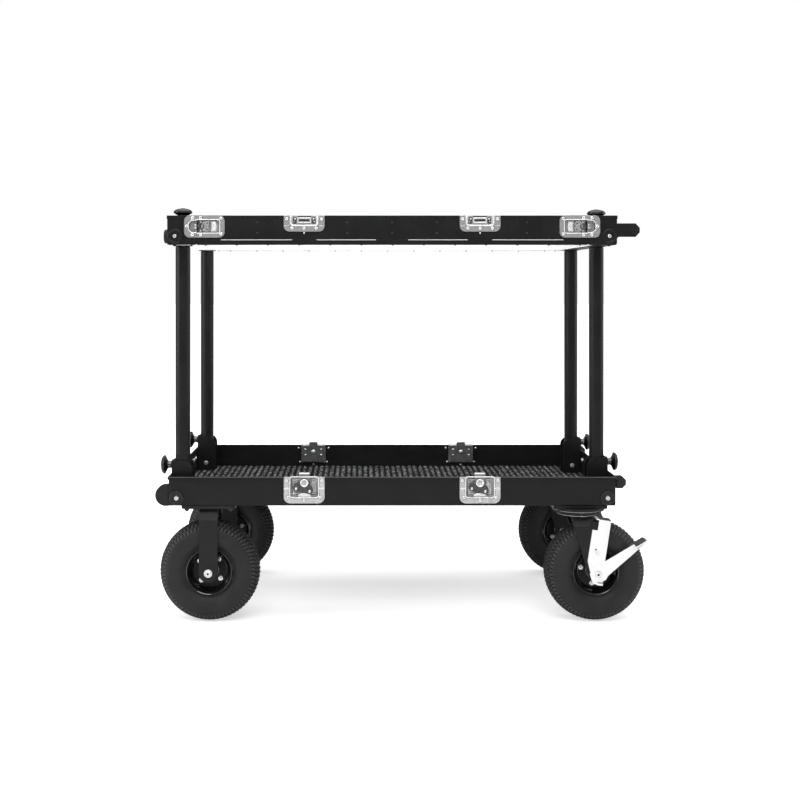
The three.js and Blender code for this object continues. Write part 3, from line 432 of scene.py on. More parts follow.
# bright plate: rolled streaks and soft stains over a metal, darker in its stains
def brightMetal(name, tone=0.78, metallic=0.92, roughness=0.26, stain=0.35, warm=0.004):
    net = Net(name)
    stains = net.noise(55, 5)
    streaks = net.noise(420, 3, 0.6, (1, 1, 14))
    flake = net.noise(900, 2)
    wearAndPaintedLight = net.spread(stains, 0.35, 0.68)
    lines = net.spread(streaks, 0.38, 0.64)
    return net.skin({
        "Base Color": net.blend((wearAndPaintedLight * 0.6 + lines * 0.4) * stain, grey(tone, warm), grey(tone * 0.5, warm)),
        "Metallic": metallic,
        "Roughness": net.spread(wearAndPaintedLight * 0.7 + streaks * 0.3, 0.1, 0.9, (roughness - 0.08, roughness + 0.14)),
        "Normal": net.bump(flake * 0.4 + streaks * 0.6, 0.00003, 0.6),
    })


# satin plated steel in a dark tone with a mottled passivation
def darkPlate(name, tone=0.07, metallic=0.55, roughness=0.46):
    net = Net(name)
    mottle = net.noise(160, 5)
    fine = net.noise(1400, 2)
    return net.skin({
        "Base Color": net.blend(net.spread(mottle, 0.35, 0.7), grey(tone * 0.8, -0.03), grey(tone * 1.35, -0.03)),
        "Metallic": metallic,
        "Roughness": net.spread(mottle, 0.3, 0.7, (roughness - 0.06, roughness + 0.08)),
        "Normal": net.bump(fine, 0.00003, 0.5),
    })


# moulded rubber: fine grit, a dry bloom that comes and goes
def mouldedRubber(name, tone=0.011, roughness=0.6, bloom=0.5, grit=0.00005, specular=0.3):
    net = Net(name)
    haze = net.noise(26, 4)
    grains = net.noise(1500, 3)
    return net.skin({
        "Base Color": net.blend(net.spread(haze, 0.4, 0.75) * bloom, grey(tone), grey(tone * 2.1, 0.01)),
        "Roughness": net.spread(haze, 0.3, 0.7, (roughness - 0.06, roughness + 0.08)),
        "Specular IOR Level": specular,
        "Normal": net.bump(grains, grit, 0.7),
    })


# tyre: the rubber tone follows the tread attribute: the grooves are painted near black as painted shade, and the block
# tops go dusty
def tyreSkin(name):
    net = Net(name)
    wearAndPaintedLight = net.node("ShaderNodeAttribute", {"attribute_name": "tread"})["Fac"]
    haze = net.noise(18, 5)
    grains = net.noise(1100, 3)
    dust = net.spread(haze + wearAndPaintedLight * 0.5, 0.25, 0.95)
    return net.skin({
        # the spread of the tread value takes the grooves near black: painted shade in the grooves
        "Base Color": net.blend(dust * net.spread(wearAndPaintedLight, -0.25, 0.4), grey(0.003), grey(0.046, 0.01)),
        "Roughness": net.spread(haze, 0.3, 0.7, (0.5, 0.7)),
        "Specular IOR Level": 0.35,
        "Normal": net.bump(grains, 0.00006, 0.6),
    })


# loop mat: painted highlight on the tops of the ribs and of the loops of a cellular noise and painted shade between
# them, its strength varied by a noise for the yarn's own tone
def matSkin(name):
    net = Net(name)
    height = net.node("ShaderNodeAttribute", {"attribute_name": "pile"})["Fac"]
    spot = net.node("ShaderNodeMapping", {}, {"Vector": net.coordinate, "Scale": (1, 0.75, 1)})
    yarn = net.node("ShaderNodeTexVoronoi", {"feature": "F1"}, {"Vector": spot, "Scale": 260.0})
    tint = net.noise(95, 3)
    # painted highlight on the rib tops and loop middles, painted shade in the dips between
    lit = net.spread(height, 0.35, 0.8) * net.spread(yarn["Distance"], 0.75, 0.25)
    tone = lit * net.spread(tint, 0.4, 0.6, (0.2, 1.0))
    return net.skin({
        "Base Color": net.blend(tone, grey(0.004, -0.06), grey(0.38, -0.02)),
        "Roughness": 0.9,
        "Specular IOR Level": 0.08,
        "Normal": net.bump(1 - yarn["Distance"], 0.0012, 0.9),
    })


# gloss paint: a slow ripple in roughness and bump
def glossPaint(name, tone=0.006, roughness=0.09):
    net = Net(name)
    ripple = net.noise(70, 2)
    return net.skin({
        "Base Color": net.blend(net.spread(ripple, 0.4, 0.7) * 0.4, grey(tone), grey(tone * 1.8)),
        "Roughness": net.spread(ripple, 0.3, 0.7, (roughness - 0.04, roughness + 0.08)),
        "Specular IOR Level": 1.0,
        "Normal": net.bump(ripple, 0.00015, 0.3),
    })


coat = powderCoat("black powder coat")
coatInside = powderCoat("black powder coat inside", tone=0.0065, roughness=0.5)
trimCoat = powderCoat("black trim coat", tone=0.0065, roughness=0.26, depth=0.00001, specular=0.42)
tubeCoat = powderCoat("black tube coat", tone=0.0085, roughness=0.34, depth=0.00002)
forkCoat = powderCoat("black fork coat", tone=0.012, roughness=0.45)
latchZinc = brightMetal("bright latch plate", 0.64, 0.7, 0.3, 0.6)
cornerZinc = brightMetal("brushed corner plate", 0.62, 0.8, 0.32, 0.8)
# bright steel for beads, rivets and small parts, also for the ovals that paint light in the latch wings' lobe holes
brightBeadAndPaintedLight = brightMetal("polished bead and painted light", 0.95, 0.35, 0.22, 0.08)
latchInner = brightMetal("bright latch recess", 0.66, 0.7, 0.3, 0.8)
boltSteel = brightMetal("bolt steel", 0.85, 0.8, 0.24, 0.3)
brakeZinc = brightMetal("brake zinc", 0.96, 0.1, 0.42, 0.06)
# bare bright sheet for the undersides, also used for the strip that paints the slit's highlight
bareSheetAndPaintedLight = brightMetal("bare sheet and painted highlight strip", 0.96, 0.1, 0.4, 0.06)
wingSteel = darkPlate("dark latch wing", 0.08, 0.6, 0.4)
midSteel = darkPlate("grey latch steel", 0.34, 0.5, 0.34)
panZinc = brightMetal("bright latch pan", 0.8, 0.55, 0.3, 0.9)
# dark material for flat rings, lines and discs that paint the shade in gaps, grooves and holes
paintedShadeSteel = darkPlate("painted groove shade", 0.03, 0.2, 0.6)
coverSteel = darkPlate("dark cover plate", 0.1, 0.35, 0.55)
darkSleeve = darkPlate("dark knob sleeve", 0.05, 0.7, 0.32)
knobNeck = darkPlate("turned knob neck", 0.13, 0.9, 0.26)
# lighter coat for the lip's top edge: a painted highlight
paintedLipHighlight = powderCoat("coat edge with painted highlight", tone=0.045, roughness=0.3)
knobBlack = mouldedRubber("moulded knob", 0.008, 0.2, 0.25, 0.00002, 0.45)
bumperBlack = mouldedRubber("bumper rubber", 0.012, 0.58)
rubberAndPaintedShade = mouldedRubber("pedal rubber and painted shade strip", 0.05, 0.7, 0.6, 0.0001)
tyreBlack = tyreSkin("tyre rubber")
yarnMat = matSkin("loop mat yarn")
rimGloss = glossPaint("gloss rim paint")
print("materials made")


# one object from (shapes, material) pairs, its doubles merged and its faces turned outwards
def makePiece(name, parts, body, nodes, values=None, angle=40, weighted=True):
    points, faces, skins, start = [], [], [], 0
    palette = []
    for shapes, material in parts:
        if material not in palette:
            palette.append(material)
        for shapePoints, shapeFaces in shapes:
            points.append(shapePoints)
            faces += [[index + start for index in face] for face in shapeFaces]
            skins += [palette.index(material)] * len(shapeFaces)
            start += len(shapePoints)
    mesh = bpy.data.meshes.new(name)
    mesh.from_pydata(np.concatenate(points) * mm + [middleX, 0, 0], [], faces)
    for material in palette:
        mesh.materials.append(material)
    mesh.polygons.foreach_set("material_index", skins)
    for key, array in (values or {}).items():
        mesh.attributes.new(key, "FLOAT", "POINT").data.foreach_set("value", array)
    work = bmesh.new()
    work.from_mesh(mesh)
    bmesh.ops.remove_doubles(work, verts=work.verts, dist=2e-6)
    bmesh.ops.recalc_face_normals(work, faces=work.faces)
    work.to_mesh(mesh)
    work.free()
    mesh.polygons.foreach_set("use_smooth", np.ones(len(mesh.polygons), bool))
    mesh.set_sharp_from_angle(angle=radians(angle))
    piece = bpy.data.objects.new(name, mesh)
    bpy.context.scene.collection.objects.link(piece)
    if weighted:
        even = piece.modifiers.new("even", "WEIGHTED_NORMAL")
        even.keep_sharp = True
    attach(piece, body)
    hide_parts(*nodes)


tray = {
    "corner": 4.0, "sheet": 3.0, "bend": 3.5, "lip": 3.0, "lipHeight": 7.6, "latchX": 224.0, "flange": 104.6,
    "pan": 74.6, "panDrop": 53.8, "bossX": 549.0, "bossZ": 322.0, "bossRadius": 18.5, "bossProud": 4.0,
    "ledge": 14.0, "halfY": 289.0, "boltY": (-172, -138, 138, 172), "boltZ": 352,
}


# folded wall section [outward, z]: a bend at the foot, a straight wall and, if wanted, a proud rolled lip
def wallSection(low, top, sheet, bend, ledge, lip=0.0, lipHeight=0.0):
    t = np.linspace(0, pi / 2, 5)
    foot = np.column_stack([-bend * (1 - np.sin(t)), low + bend * (1 - np.cos(t))])
    if lip:
        outer = [
            [0, top - lipHeight], [lip - 0.8, top - lipHeight + 0.3], [lip, top - lipHeight + 1.2],
            [lip, top - 2.2], [lip - 0.6, top - 0.7], [lip - 2.0, top],
        ]
    else:
        outer = [[0, top - 0.8], [-0.25, top - 0.25], [-0.8, top]]
    inner = [[-sheet + 0.5, top], [-sheet, top - 0.5], [-sheet, low + sheet + 1.5], [-sheet - 1.5, low + sheet]]
    ends = [[-ledge, low + sheet], [-ledge, low]]
    return np.concatenate([foot, outer, inner, ends])


# straight stretch of a wall along X on one long side
def stretch(section, x0, x1, row, halfY):
    path = [[x0, row * halfY], [x1, row * halfY]]
    return carried(section, path, [[0, row], [0, row]])


# quarter turn, short side, quarter turn: the end of a tray, with its wall's outward directions
def endPath(side, halfX, halfY, corner, x0):
    t = np.linspace(0, pi / 2, 7)
    turnNormals = np.column_stack([np.sin(t), -np.cos(t)])
    front = np.array([halfX - corner, -halfY + corner]) + corner * turnNormals
    path = np.concatenate([[[x0, -halfY]], front, front[::-1] * [1, -1], [[x0, halfY]]])
    normals = np.concatenate([[[0, -1]], turnNormals, turnNormals[::-1] * [1, -1], [[0, 1]]])
    return path * [side, 1], normals * [side, 1]


# round boss with stepped rings in its face, and a socket screw in its middle
def bossWithScrew(x, z, row, faceY, radius, proud):
    axis = (0, row, 0)
    profile = [[0, -0.5], [radius, -0.5], [radius, proud - 1.4], [radius - 0.5, proud - 0.5], [radius - 1.5, proud],
               [radius - 4.4, proud], [radius - 5.4, proud - 0.8], [radius - 6.2, proud - 2.0], [8.4, proud - 2.0],
               [7.4, proud - 1.1], [0, proud - 1.1]]
    disc = lathe(profile, (x, row * faceY, z), axis, 56)
    screw = socketScrew((x, row * (faceY + proud - 1.1), z), axis, 6.2, 4.4)
    return disc, screw


# lower tray: folded walls with a proud lip, lower where a latch sits, a floor, bosses, bolts and a lighter strip along
# the lip's top edge that paints its highlight
def buildLowerTray():
    low, high = boxOf("lower_tray")
    bottom, top = low[2], high[2]
    lip, ledge, sheet, halfY = (tray[k] for k in ("lip", "ledge", "sheet", "halfY"))
    halfX = high[0] - lip
    start = halfX - tray["corner"]
    common = (sheet, tray["bend"], ledge)
    full = wallSection(bottom, top, *common, lip, tray["lipHeight"])
    plain = wallSection(bottom, top, *common)
    lowered = wallSection(bottom, top - tray["panDrop"], *common)
    ends = [endPath(side, halfX, halfY, tray["corner"], start) for side in (-1, 1)]
    flange, pan, at = tray["flange"] / 2, tray["pan"] / 2, tray["latchX"]
    spans = [(-start, -at - flange, full), (-at + flange, at - flange, full), (at + flange, start, full)]
    for middle in (-at, at):
        spans += [
            (middle - flange, middle - pan, plain), (middle - pan, middle + pan, lowered),
            (middle + pan, middle + flange, plain),
        ]
    shapes = [carried(full, *end) for end in ends]
    shapes += [stretch(section, x0, x1, row, halfY) for row in (-1, 1) for x0, x1, section in spans]
    shapes.append(block(-halfX + ledge, halfX - ledge, -halfY + ledge, halfY - ledge, bottom, bottom + sheet, 0))
    discs, screws = [], []
    for side in (-1, 1):
        for row in (-1, 1):
            disc, screw = bossWithScrew(
                side * tray["bossX"], tray["bossZ"], row, halfY, tray["bossRadius"], tray["bossProud"])
            discs.append(disc)
            screws.append(screw)
        for y in tray["boltY"]:
            screws += hexHead((side * (halfX - sheet), y, tray["boltZ"]), (-side, 0, 0), 5.0, 3.4)
    # a strip along the top of the lip in a lighter coat: a painted highlight on the lip's edge
    edge = np.array([[lip + 0.25, top - 1.7], [lip - 0.5, top - 0.55], [lip - 1.9, top + 0.1], [lip - 1.9, top - 0.3],
                     [lip - 0.3, top - 1.7]])
    wearAndPaintedLight = [carried(edge, *end) for end in ends]
    wearAndPaintedLight += [stretch(edge, x0, x1, row, halfY) for x0, x1, section in spans if section is full for row in (-1, 1)]
    makePiece("lowerTray", [(shapes, coat), (discs, trimCoat), (wearAndPaintedLight, paintedLipHighlight), (screws, boltSteel)], "base",
              ["lower_tray"])


mat = {"pitch": 16.5, "perRib": 7, "along": 3.3, "rise": 4.0, "tuft": 11.0, "seed": 7, "gap": 0.6, "past": 900}


# ribbed loop mat: pile = rib^0.7 * (0.72 + 0.28 tuft) + 0.12 jitter*rib, with rib = |cos(pi x/pitch)| and tuft a wave
# along the rib that is turned by half its length on every other rib; a skirt joins the top to a flat underside
def matSurface(low, high, holes, perRib, along):
    columns = int(round((high[0] - low[0]) / mat["pitch"])) * perRib
    lines = int(round((high[1] - low[1]) / along))
    x = np.linspace(low[0] + 0.4, high[0] - 0.4, columns + 1)
    y = np.linspace(low[1] + 0.4, high[1] - 0.4, lines + 1)
    gridX, gridY = np.meshgrid(x, y)
    count = gridX / mat["pitch"]
    rib = np.abs(np.cos(pi * count))
    odd = np.floor(count + 0.5) % 2
    noise = np.random.default_rng(mat["seed"])
    jitter = noise.normal(0, 1, gridX.shape)
    for axis in (0, 1):
        jitter = (jitter + np.roll(jitter, 1, axis) + np.roll(jitter, -1, axis)) / 3
    tuft = np.cos(2 * pi * gridY / mat["tuft"] + pi * odd + 1.9 * np.sin(2 * pi * count) + jitter)
    pile = np.clip(rib ** 0.7 * (0.72 + 0.28 * tuft) + 0.12 * jitter * rib, 0, 1.05)
    for x0, x1, y0, y1 in holes:
        inside = (gridX > x0) & (gridX < x1) & (gridY > y0) & (gridY < y1)
        pile = np.where(inside, 0, pile)
    top = high[2] - mat["rise"] + mat["rise"] * pile / 1.05
    surface = np.stack([gridX, gridY, top], -1)
    index = np.arange(surface.shape[0] * surface.shape[1]).reshape(surface.shape[:2])
    a, b, c, d = index[:-1, :-1], index[:-1, 1:], index[1:, 1:], index[1:, :-1]
    middle = (surface[:-1, :-1, :2] + surface[1:, 1:, :2]) / 2
    keep = np.ones(a.shape, bool)
    for x0, x1, y0, y1 in holes:
        keep &= ~((middle[..., 0] > x0) & (middle[..., 0] < x1) & (middle[..., 1] > y0) & (middle[..., 1] < y1))
    quads = np.stack([a, b, c, d], -1)[keep]
    under = quads[:, ::-1] + index.size
    edges = np.concatenate([quads[:, [i, (i + 1) % 4]] for i in range(4)])
    key = np.sort(edges, 1) @ [index.size, 1]
    _, first, times = np.unique(key, return_index=True, return_counts=True)
    rim = edges[first[times == 1]]
    skirt = np.stack([rim[:, 1], rim[:, 0], rim[:, 0] + index.size, rim[:, 1] + index.size], 1)
    base = surface.copy()
    base[..., 2] = low[2]
    points = np.concatenate([surface.reshape(-1, 3), base.reshape(-1, 3)])
    used, home = np.unique(np.concatenate([quads, under, skirt]), return_inverse=True)
    values = np.concatenate([pile.ravel(), np.zeros(index.size)])[used]
    return (points[used], home.reshape(-1, 4).tolist()), values


# mats on both trays, the lower one cut out round the brackets
def buildMats():
    holes, gap, past = [], mat["gap"], mat["past"]
    for row, side in corners:
        near, far = boxOf(f"foot_bracket_{row}_{side}")
        reach = (near[0] - past, far[0] + gap) if side == "left" else (near[0] - gap, far[0] + past)
        holes.append((*reach, near[1] - gap, far[1] + gap))
    for name, node, cuts, share, body in (
            ("lowerMat", "lower_mat", holes, 1, "base"), ("topMat", "top_mat", [], 1.2, "top_tray")):
        shape, pile = matSurface(*boxOf(node), cuts, mat["perRib"], mat["along"] * share)
        makePiece(name, [([shape], yarnMat)], body, [node], {"pile": pile}, 180, False)


mastSize = {"radius": 19.05, "chamfer": 1.5, "bore": 5.4, "boreDepth": 30.0, "steps": 72}


# mast: foot surface z = -sqrt(r^2 - x^2) under a straight tube, then a chamfered top and a blind bore
def buildMasts():
    r, bore, chamfer, steps = (mastSize[k] for k in ("radius", "bore", "chamfer", "steps"))
    u = np.linspace(0, 2 * pi, steps, endpoint=False)
    for row, side in corners:
        name = f"mast_{row}_{side}"
        low, high = boxOf(name)
        pivot = low[2] + r
        length = high[2] - pivot
        floor = length - mastSize["boreDepth"]
        rings = []
        for share in np.linspace(0, 1, 9):
            x, y = share * r * np.cos(u), share * r * np.sin(u)
            rings.append(np.column_stack([x, y, -np.sqrt(np.maximum(r * r - x * x, 0))]))
        tops = [(r, length * 0.5), (r, length - chamfer), (r - chamfer, length), (bore + 0.6, length),
                (bore, length - 0.6), (bore, floor), (0, floor)]
        for radius, z in tops:
            rings.append(np.column_stack([radius * np.cos(u), radius * np.sin(u), np.full(steps, z)]))
        shape = moved(loft(rings, caps=False), (*middleOf(name)[:2], pivot))
        makePiece(f"{name}_tube", [([shape], tubeCoat)], name, [name])


bracket = {"wall": 5.0, "reach": 27.5, "base": 4.0, "round": 24.0, "pinZ": 66.0, "collar": 10.6, "webOut": 25.7}


# foot bracket about its pivot, +X pointing to the middle of the cart
def buildBrackets():
    wall, reach, pinZ, collar, webOut = (bracket[k] for k in ("wall", "reach", "pinZ", "collar", "webOut"))
    inner = mastSize["radius"] + 0.5
    for row, side in corners:
        name, mast = f"foot_bracket_{row}_{side}", f"mast_{row}_{side}"
        pivot = boxOf(mast)[0][2] + mastSize["radius"]
        floor, top = (end[2] - pivot for end in boxOf(name))
        outline = rounded([[-webOut, floor, 0.8], [reach, floor, 0.8], [reach, top, bracket["round"]],
                           [-webOut, top, 2.0]], 8)
        hole = rectangle(-5.6, 5.6, pinZ - 5.6, pinZ + 5.6, 5.5, 6)
        shapes = [slab(outline, "y", *sorted((s * inner, s * (inner + wall))), 0.9) for s in (-1, 1)]
        shapes += [
            slab(rectangle(-inner - 0.5, inner + 0.5, floor, top, 0.8), "x", -webOut, -inner, 0.8, holes=[hole]),
            block(-webOut, reach, -inner - 0.5, inner + 0.5, floor, floor + bracket["base"], 0.8),
            lathe([[5.6, 0], [collar, 0], [collar, 2.2], [collar - 0.8, 3], [5.6, 3]],
                  (-webOut, 0, pinZ), (-1, 0, 0), 32, loop=True),
            block(-webOut - 3, -webOut + 2, -3.5, 3.5, pinZ + 9, pinZ + 13, 0.8),
        ]
        bolts = [bar(5.0, (0, -inner - 2, 0), (0, inner + 2, 0), 24)]
        for s in (-1, 1):
            bolts += hexHead((0, s * (inner + wall), 0), (0, s, 0), 4.8, 2.9, 0.3)
        spot = ((*middleOf(mast)[:2], pivot), aboutZ(0 if side == "left" else pi))
        makePiece(f"{name}_clevis", [(placed(shapes, *spot), coatInside), (placed(bolts, *spot), boltSteel)], "base",
                  [name])


knob = {
    "sleeve": 9.2, "sleeveFrom": 16.3, "steps": 56, "radius": 24.2, "thick": 19.5, "lockZ": 399.0, "clampRadius": 24.6,
}


# lens-shaped head: straight taper out to the rim, a rounded rim, then a dome r = radius cos^0.9 d, z = rim + rise sin d
def lensHead(radius, thickness, base):
    a = np.linspace(-pi / 2.6, pi / 2.6, 6)
    rimZ = thickness * 0.47
    rim = np.column_stack([radius - 1.4 + 1.4 * np.cos(a), rimZ + 1.3 * np.sin(a)])
    d = np.linspace(0.12, 1, 12) * pi / 2
    crown = np.column_stack([(radius - 0.4) * np.cos(d) ** 0.9, rimZ + 0.9 + (thickness - rimZ - 0.9) * np.sin(d)])
    return np.concatenate([[[base - 0.4, 0], [base, 1.8]], rim, crown])


# lock knobs: pin, sleeve and lens head in line, outwards along X
def buildLockKnobs():
    thick, sleeve, start = knob["thick"], knob["sleeve"], knob["sleeveFrom"]
    for row, side in corners:
        name = f"lock_knob_{row}_{side}"
        low, high = boxOf(name)
        seat = high[0] - low[0] - thick
        axis = (sides[side], 0, 0)
        origin = (high[0] if side == "left" else low[0], middleOf(name)[1], knob["lockZ"])
        pin = [[0, 0], [3, 0], [5, 2], [5, start + 2], [0, start + 2]]
        body = [[0, start], [sleeve - 0.6, start], [sleeve, start + 0.8], [sleeve, seat], [0, seat]]
        head = np.concatenate([[[0, seat]], lensHead(knob["radius"], thick, sleeve + 1.6) + [0, seat]])
        makePiece(f"{name}_plunger", [
            ([lathe(pin, origin, axis, 28), lathe(body, origin, axis, 40)], knobNeck),
            ([lathe(head, origin, axis, knob["steps"])], knobBlack),
        ], name, [name])


# clamp knobs: lens head on the deck, stud below and a dark cap on top
def buildClampKnobs():
    for row, side in corners:
        name = f"clamp_knob_{row}_{side}"
        bottom, top = (end[2] for end in boxOf(name))
        x, y = middleOf(name)[:2]
        seat = deck["top"] + 0.3
        reach = seat - bottom + 1
        head = np.concatenate([[[0, 0]], lensHead(knob["clampRadius"], top - seat - 0.2, 12.0)])
        stud = [[0, 0], [4, 0], [5, 1.2], [5, reach], [0, reach]]
        cap = [[0, -0.4], [6.0, -0.4], [6.0, 0.5], [5.2, 0.9], [3.2, 0.9], [2.8, 0.0], [0, 0.0]]
        makePiece(f"{name}_wheel", [
            ([lathe(head, (x, y, seat), upward, knob["steps"])], knobBlack),
            ([lathe(stud, (x, y, bottom), upward, 24)], boltSteel),
            ([lathe(cap, (x, y, top - 0.7), upward, 24)], darkSleeve),
        ], name, [name])


latch = {
    "width": 104.0, "height": 67.5, "corner": 16.0, "panWidth": 74.0, "panDrop": 53.5, "depth": 14.0,
    "flange": 1.5, "ringDrop": 15.7, "ringRadius": 10.4, "hookWidth": 26.0, "hookRise": 9.5, "wingTilt": 11.0,
    "coverWidth": 74.0, "coverDrop": 46.5,
    "rivets": [(-45.3, -9.7), (45.3, -9.7), (-40.8, -51.6), (40.8, -51.6), (0, -60.0)],
    "studs": [(-25.0, -15.5), (16.0, -9.0), (18.4, -16.4), (26.2, -15.4), (25.6, -24.5)],
    "wells": [(28.5, -31.5), (28.5, -40.5)],
}


# rivets of a plate whose face is at a depth: bright heads and collars, with dark rings round them and dark dots in
# their hollow centres, painted shade of the gaps and holes
def rivetSet(spots, faceY):
    head = [[1.3, 0], [4.3, 0], [4.2, 0.5], [3.5, 1.1], [2.2, 1.2], [1.3, 0.7]]
    edge = [[4.5, -0.2], [5.3, -0.2], [5.3, 0.08], [4.5, 0.08]]
    bright = [lathe(head, (u, faceY + 0.1, v), frontward, 22, loop=True) for u, v in spots]
    shadeRings = [lathe(edge, (u, faceY, v), frontward, 22, loop=True) for u, v in spots]
    return bright, shadeRings + [bar(1.5, (u, faceY + 0.3, v), (u, faceY - 0.4, v), 14, 0.1) for u, v in spots]


# stamped flange: a flat plate with a raised bead round its recess and a soft rolled outer edge
def flangePlate(outer, recess, faceY, thick, bead):
    plate = slab(outer, "y", faceY - thick, faceY, 0.7, 3, holes=[recess])
    ringIn, ringOut = inset(recess, -0.4), inset(recess, -bead)
    path = (ringIn + ringOut) / 2
    t = np.linspace(0, 2 * pi, 10, endpoint=False)
    reach = (ringOut - ringIn) / 2
    rings = np.stack([
        np.column_stack([path + reach * cos(a), np.full(len(path), faceY - thick - 0.1 - 0.9 * sin(a))])
        for a in t
    ])
    points, faces = loft(rings, loop=True)
    return plate, (points[:, [0, 2, 1]], faces)


# pressed pan: rings that shrink from the mouth to the floor with a round at its foot, and back up outside
def pressedPan(mouth, faceY, depth, draft, thick):
    levels = [(0, 0), (0.4, depth * 0.4), (draft, depth - 3.0), (draft + 0.9, depth - 0.9), (draft + 3.0, depth)]
    levels += [(away - thick, y + thick * 0.9) for away, y in levels[::-1]]
    rings = []
    for away, y in levels:
        line = inset(mouth, away)
        rings.append(np.column_stack([line[:, 0], np.full(len(mouth), faceY + y), line[:, 1]]))
    return loft(np.stack(rings), caps=False, loop=True)


# butterfly wing outline: two round lobes joined by a waist under the ring, as shares of the half width
def butterflyOutline(halfWidth, drop, lobe, steps=10):
    return rounded([
        [-halfWidth * 0.42, -1.0, 2.0], [-halfWidth * 0.80, -drop * 0.22, 7.0], [-halfWidth, -drop * 0.62, lobe * 0.8],
        [-halfWidth * 0.82, -drop, lobe * 0.8], [-halfWidth * 0.38, -drop * 0.98, 4.0], [0, -drop * 0.9, 12.0],
        [halfWidth * 0.38, -drop * 0.98, 4.0], [halfWidth * 0.82, -drop, lobe * 0.8],
        [halfWidth, -drop * 0.62, lobe * 0.8], [halfWidth * 0.80, -drop * 0.22, 7.0], [halfWidth * 0.42, -1.0, 2.0],
    ], steps)


# recessed butterfly latches: flange, pan, hook, collar and button in the dish, and the wing that flips out
def buildLatches():
    w, h, depth, r = latch["width"] / 2, latch["height"], latch["depth"], latch["ringRadius"]
    half, rise, ringZ, hookHalf = latch["panWidth"] / 2, latch["hookRise"], -latch["ringDrop"], latch["hookWidth"] / 2
    faceY = -0.3
    face, floorY = faceY - latch["flange"], faceY + depth - 2.0
    recess = hanging(half - 2.5, -1.6, 2 - latch["panDrop"], 2.0, 7.0, 7, 1.0)
    plate, bead = flangePlate(hanging(w, 0, -h, 1.0, latch["corner"], 9), recess, faceY, latch["flange"], 3.0)
    pan = pressedPan(recess, faceY - 0.8, depth - 1.2, 2.0, 1.2)
    floor = slab(inset(recess, 4.6), "y", floorY - 0.2, floorY + 1.0, 0.3)
    well = slab(inset(recess, 5.4), "y", floorY - 1.9, floorY - 0.1, 0.5, holes=[inset(recess, 8.5)])
    rails = [slab(rectangle(*span, -31.0, -27.6, 1.2), "y", faceY - 2.1, faceY - 0.6, 0.6)
             for span in ((-w + 0.8, -half - 0.8), (half + 0.8, w - 0.8))]
    rivets, shadeGaps = rivetSet(latch["rivets"], face)
    # dark lines round the recess, at the flange and down on the pan's floor: painted shade along its edges
    for away, at in ((-0.1, face), (-3.4, face), (5.2, floorY - 2.0), (9.6, floorY - 0.2)):
        shadeGaps.append(ridge(inset(recess, away), at, 0.6, 0.15, closed=True, sides=6))
    hook = slab(rounded([[-hookHalf, -22, 1.0], [hookHalf, -22, 1.0], [hookHalf, rise - 2, 2.2],
                         [-hookHalf, rise - 2, 2.2]], 5), "y", 5.4, 8.4, 0.7)
    hookBar = bar(1.9, (-hookHalf - 0.4, 6.0, rise - 1.9), (hookHalf + 0.4, 6.0, rise - 1.9), 24, 0.6)
    hookStuds = [dome((u, 5.5, -0.9), frontward, 2.6, 1.4) for u in (-3.6, 3.6)]
    hookFrame = slab(rectangle(-9.8, 9.8, -7.8, 3.6, 2.5), "y", 4.5, 5.6, 0.5,
                     holes=[rectangle(-7.6, 7.6, -5.4, 1.8, 2.0)])
    collar = lathe([[r - 4.0, 4.0], [r - 2.0, 4.0], [r - 2.0, 5.5], [r - 0.8, 6.3], [r, 7.2], [r, 8.6], [r - 0.5, 9.3],
                    [r - 1.4, 9.6], [r - 2.6, 9.1], [r - 3.4, 8.1], [r - 4.0, 7.0]],
                   (0, 8.0, ringZ), frontward, 48, loop=True)
    button = lathe([[0, 0], [r - 2.6, 0], [r - 2.6, 7.2], [r - 3.6, 7.6], [r * 0.5, 8.0], [0, 8.2]],
                   (0, 8.0, ringZ), frontward, 40)
    stubs = bar(1.6, (-r - 3.6, 1.7, ringZ), (r + 3.6, 1.7, ringZ), 16, 0.3)
    crescent = slab(rounded([
        [-17, -51.0, 1.5], [17, -51.0, 1.5], [16.5, -46.5, 2.0], [9.0, -42.6, 8.0], [0, -41.2, 14.0],
        [-9.0, -42.6, 8.0], [-16.5, -46.5, 2.0]], 6), "y", 4.2, 8.0, 1.0, 3)
    studs = [dome((u, floorY - 1.4, v), frontward, 2.3, 1.8) for u, v in latch["studs"]]
    # dark discs on the pan's floor: painted shade of small wells
    wells = [lathe([[0, 0], [2.2, 0], [2.2, 0.5], [0, 0.5]], (u, floorY - 0.6, v), frontward, 16)
             for u, v in latch["wells"]]
    cover = slab(hanging(latch["coverWidth"] / 2, -0.4, -latch["coverDrop"], 1.5, 5.0, 6, -1.5),
                 "y", depth, depth + 1.6, 0.6)
    tab = slab(rectangle(-12.3, 12.3, -3, rise + 0.2, 2.4), "y", depth - 2.6, depth + 1.2, 0.9)
    screws = [dome((u, depth + 1.6, v), backward, 2.9, 1.6) for u in (-24, 24) for v in (-12.0, -29.0)]
    screws.append(dome((0, depth + 1.5, -19.0), backward, 6.0, 3.2, 24))
    screws += [dome((u, 3.0, v), backward, 3.0, 1.7) for u, v in latch["rivets"]]
    hinge, tilt = (0, 0, ringZ), aboutY(radians(latch["wingTilt"]))
    lobes = [rectangle(u - 2.8, u + 2.8, -22.7, -14.5, 2.7, 6) for u in (-17.6, 17.6)]
    wing = placed([
        slab(butterflyOutline(27.0, 26.0, 9.5), "y", 0.3, 3.0, 0.8, 3, holes=lobes),
        slab(rectangle(-4.0, 4.0, -19.5, -12.5, 2.5), "y", -0.5, 1.5, 0.6)], hinge, tilt)
    wing += placed([bar(3.1, (s * (r + 0.5), 1.7, 0), (s * (r + 5.2), 1.7, 0), 20, 0.4) for s in (-1, 1)], hinge)
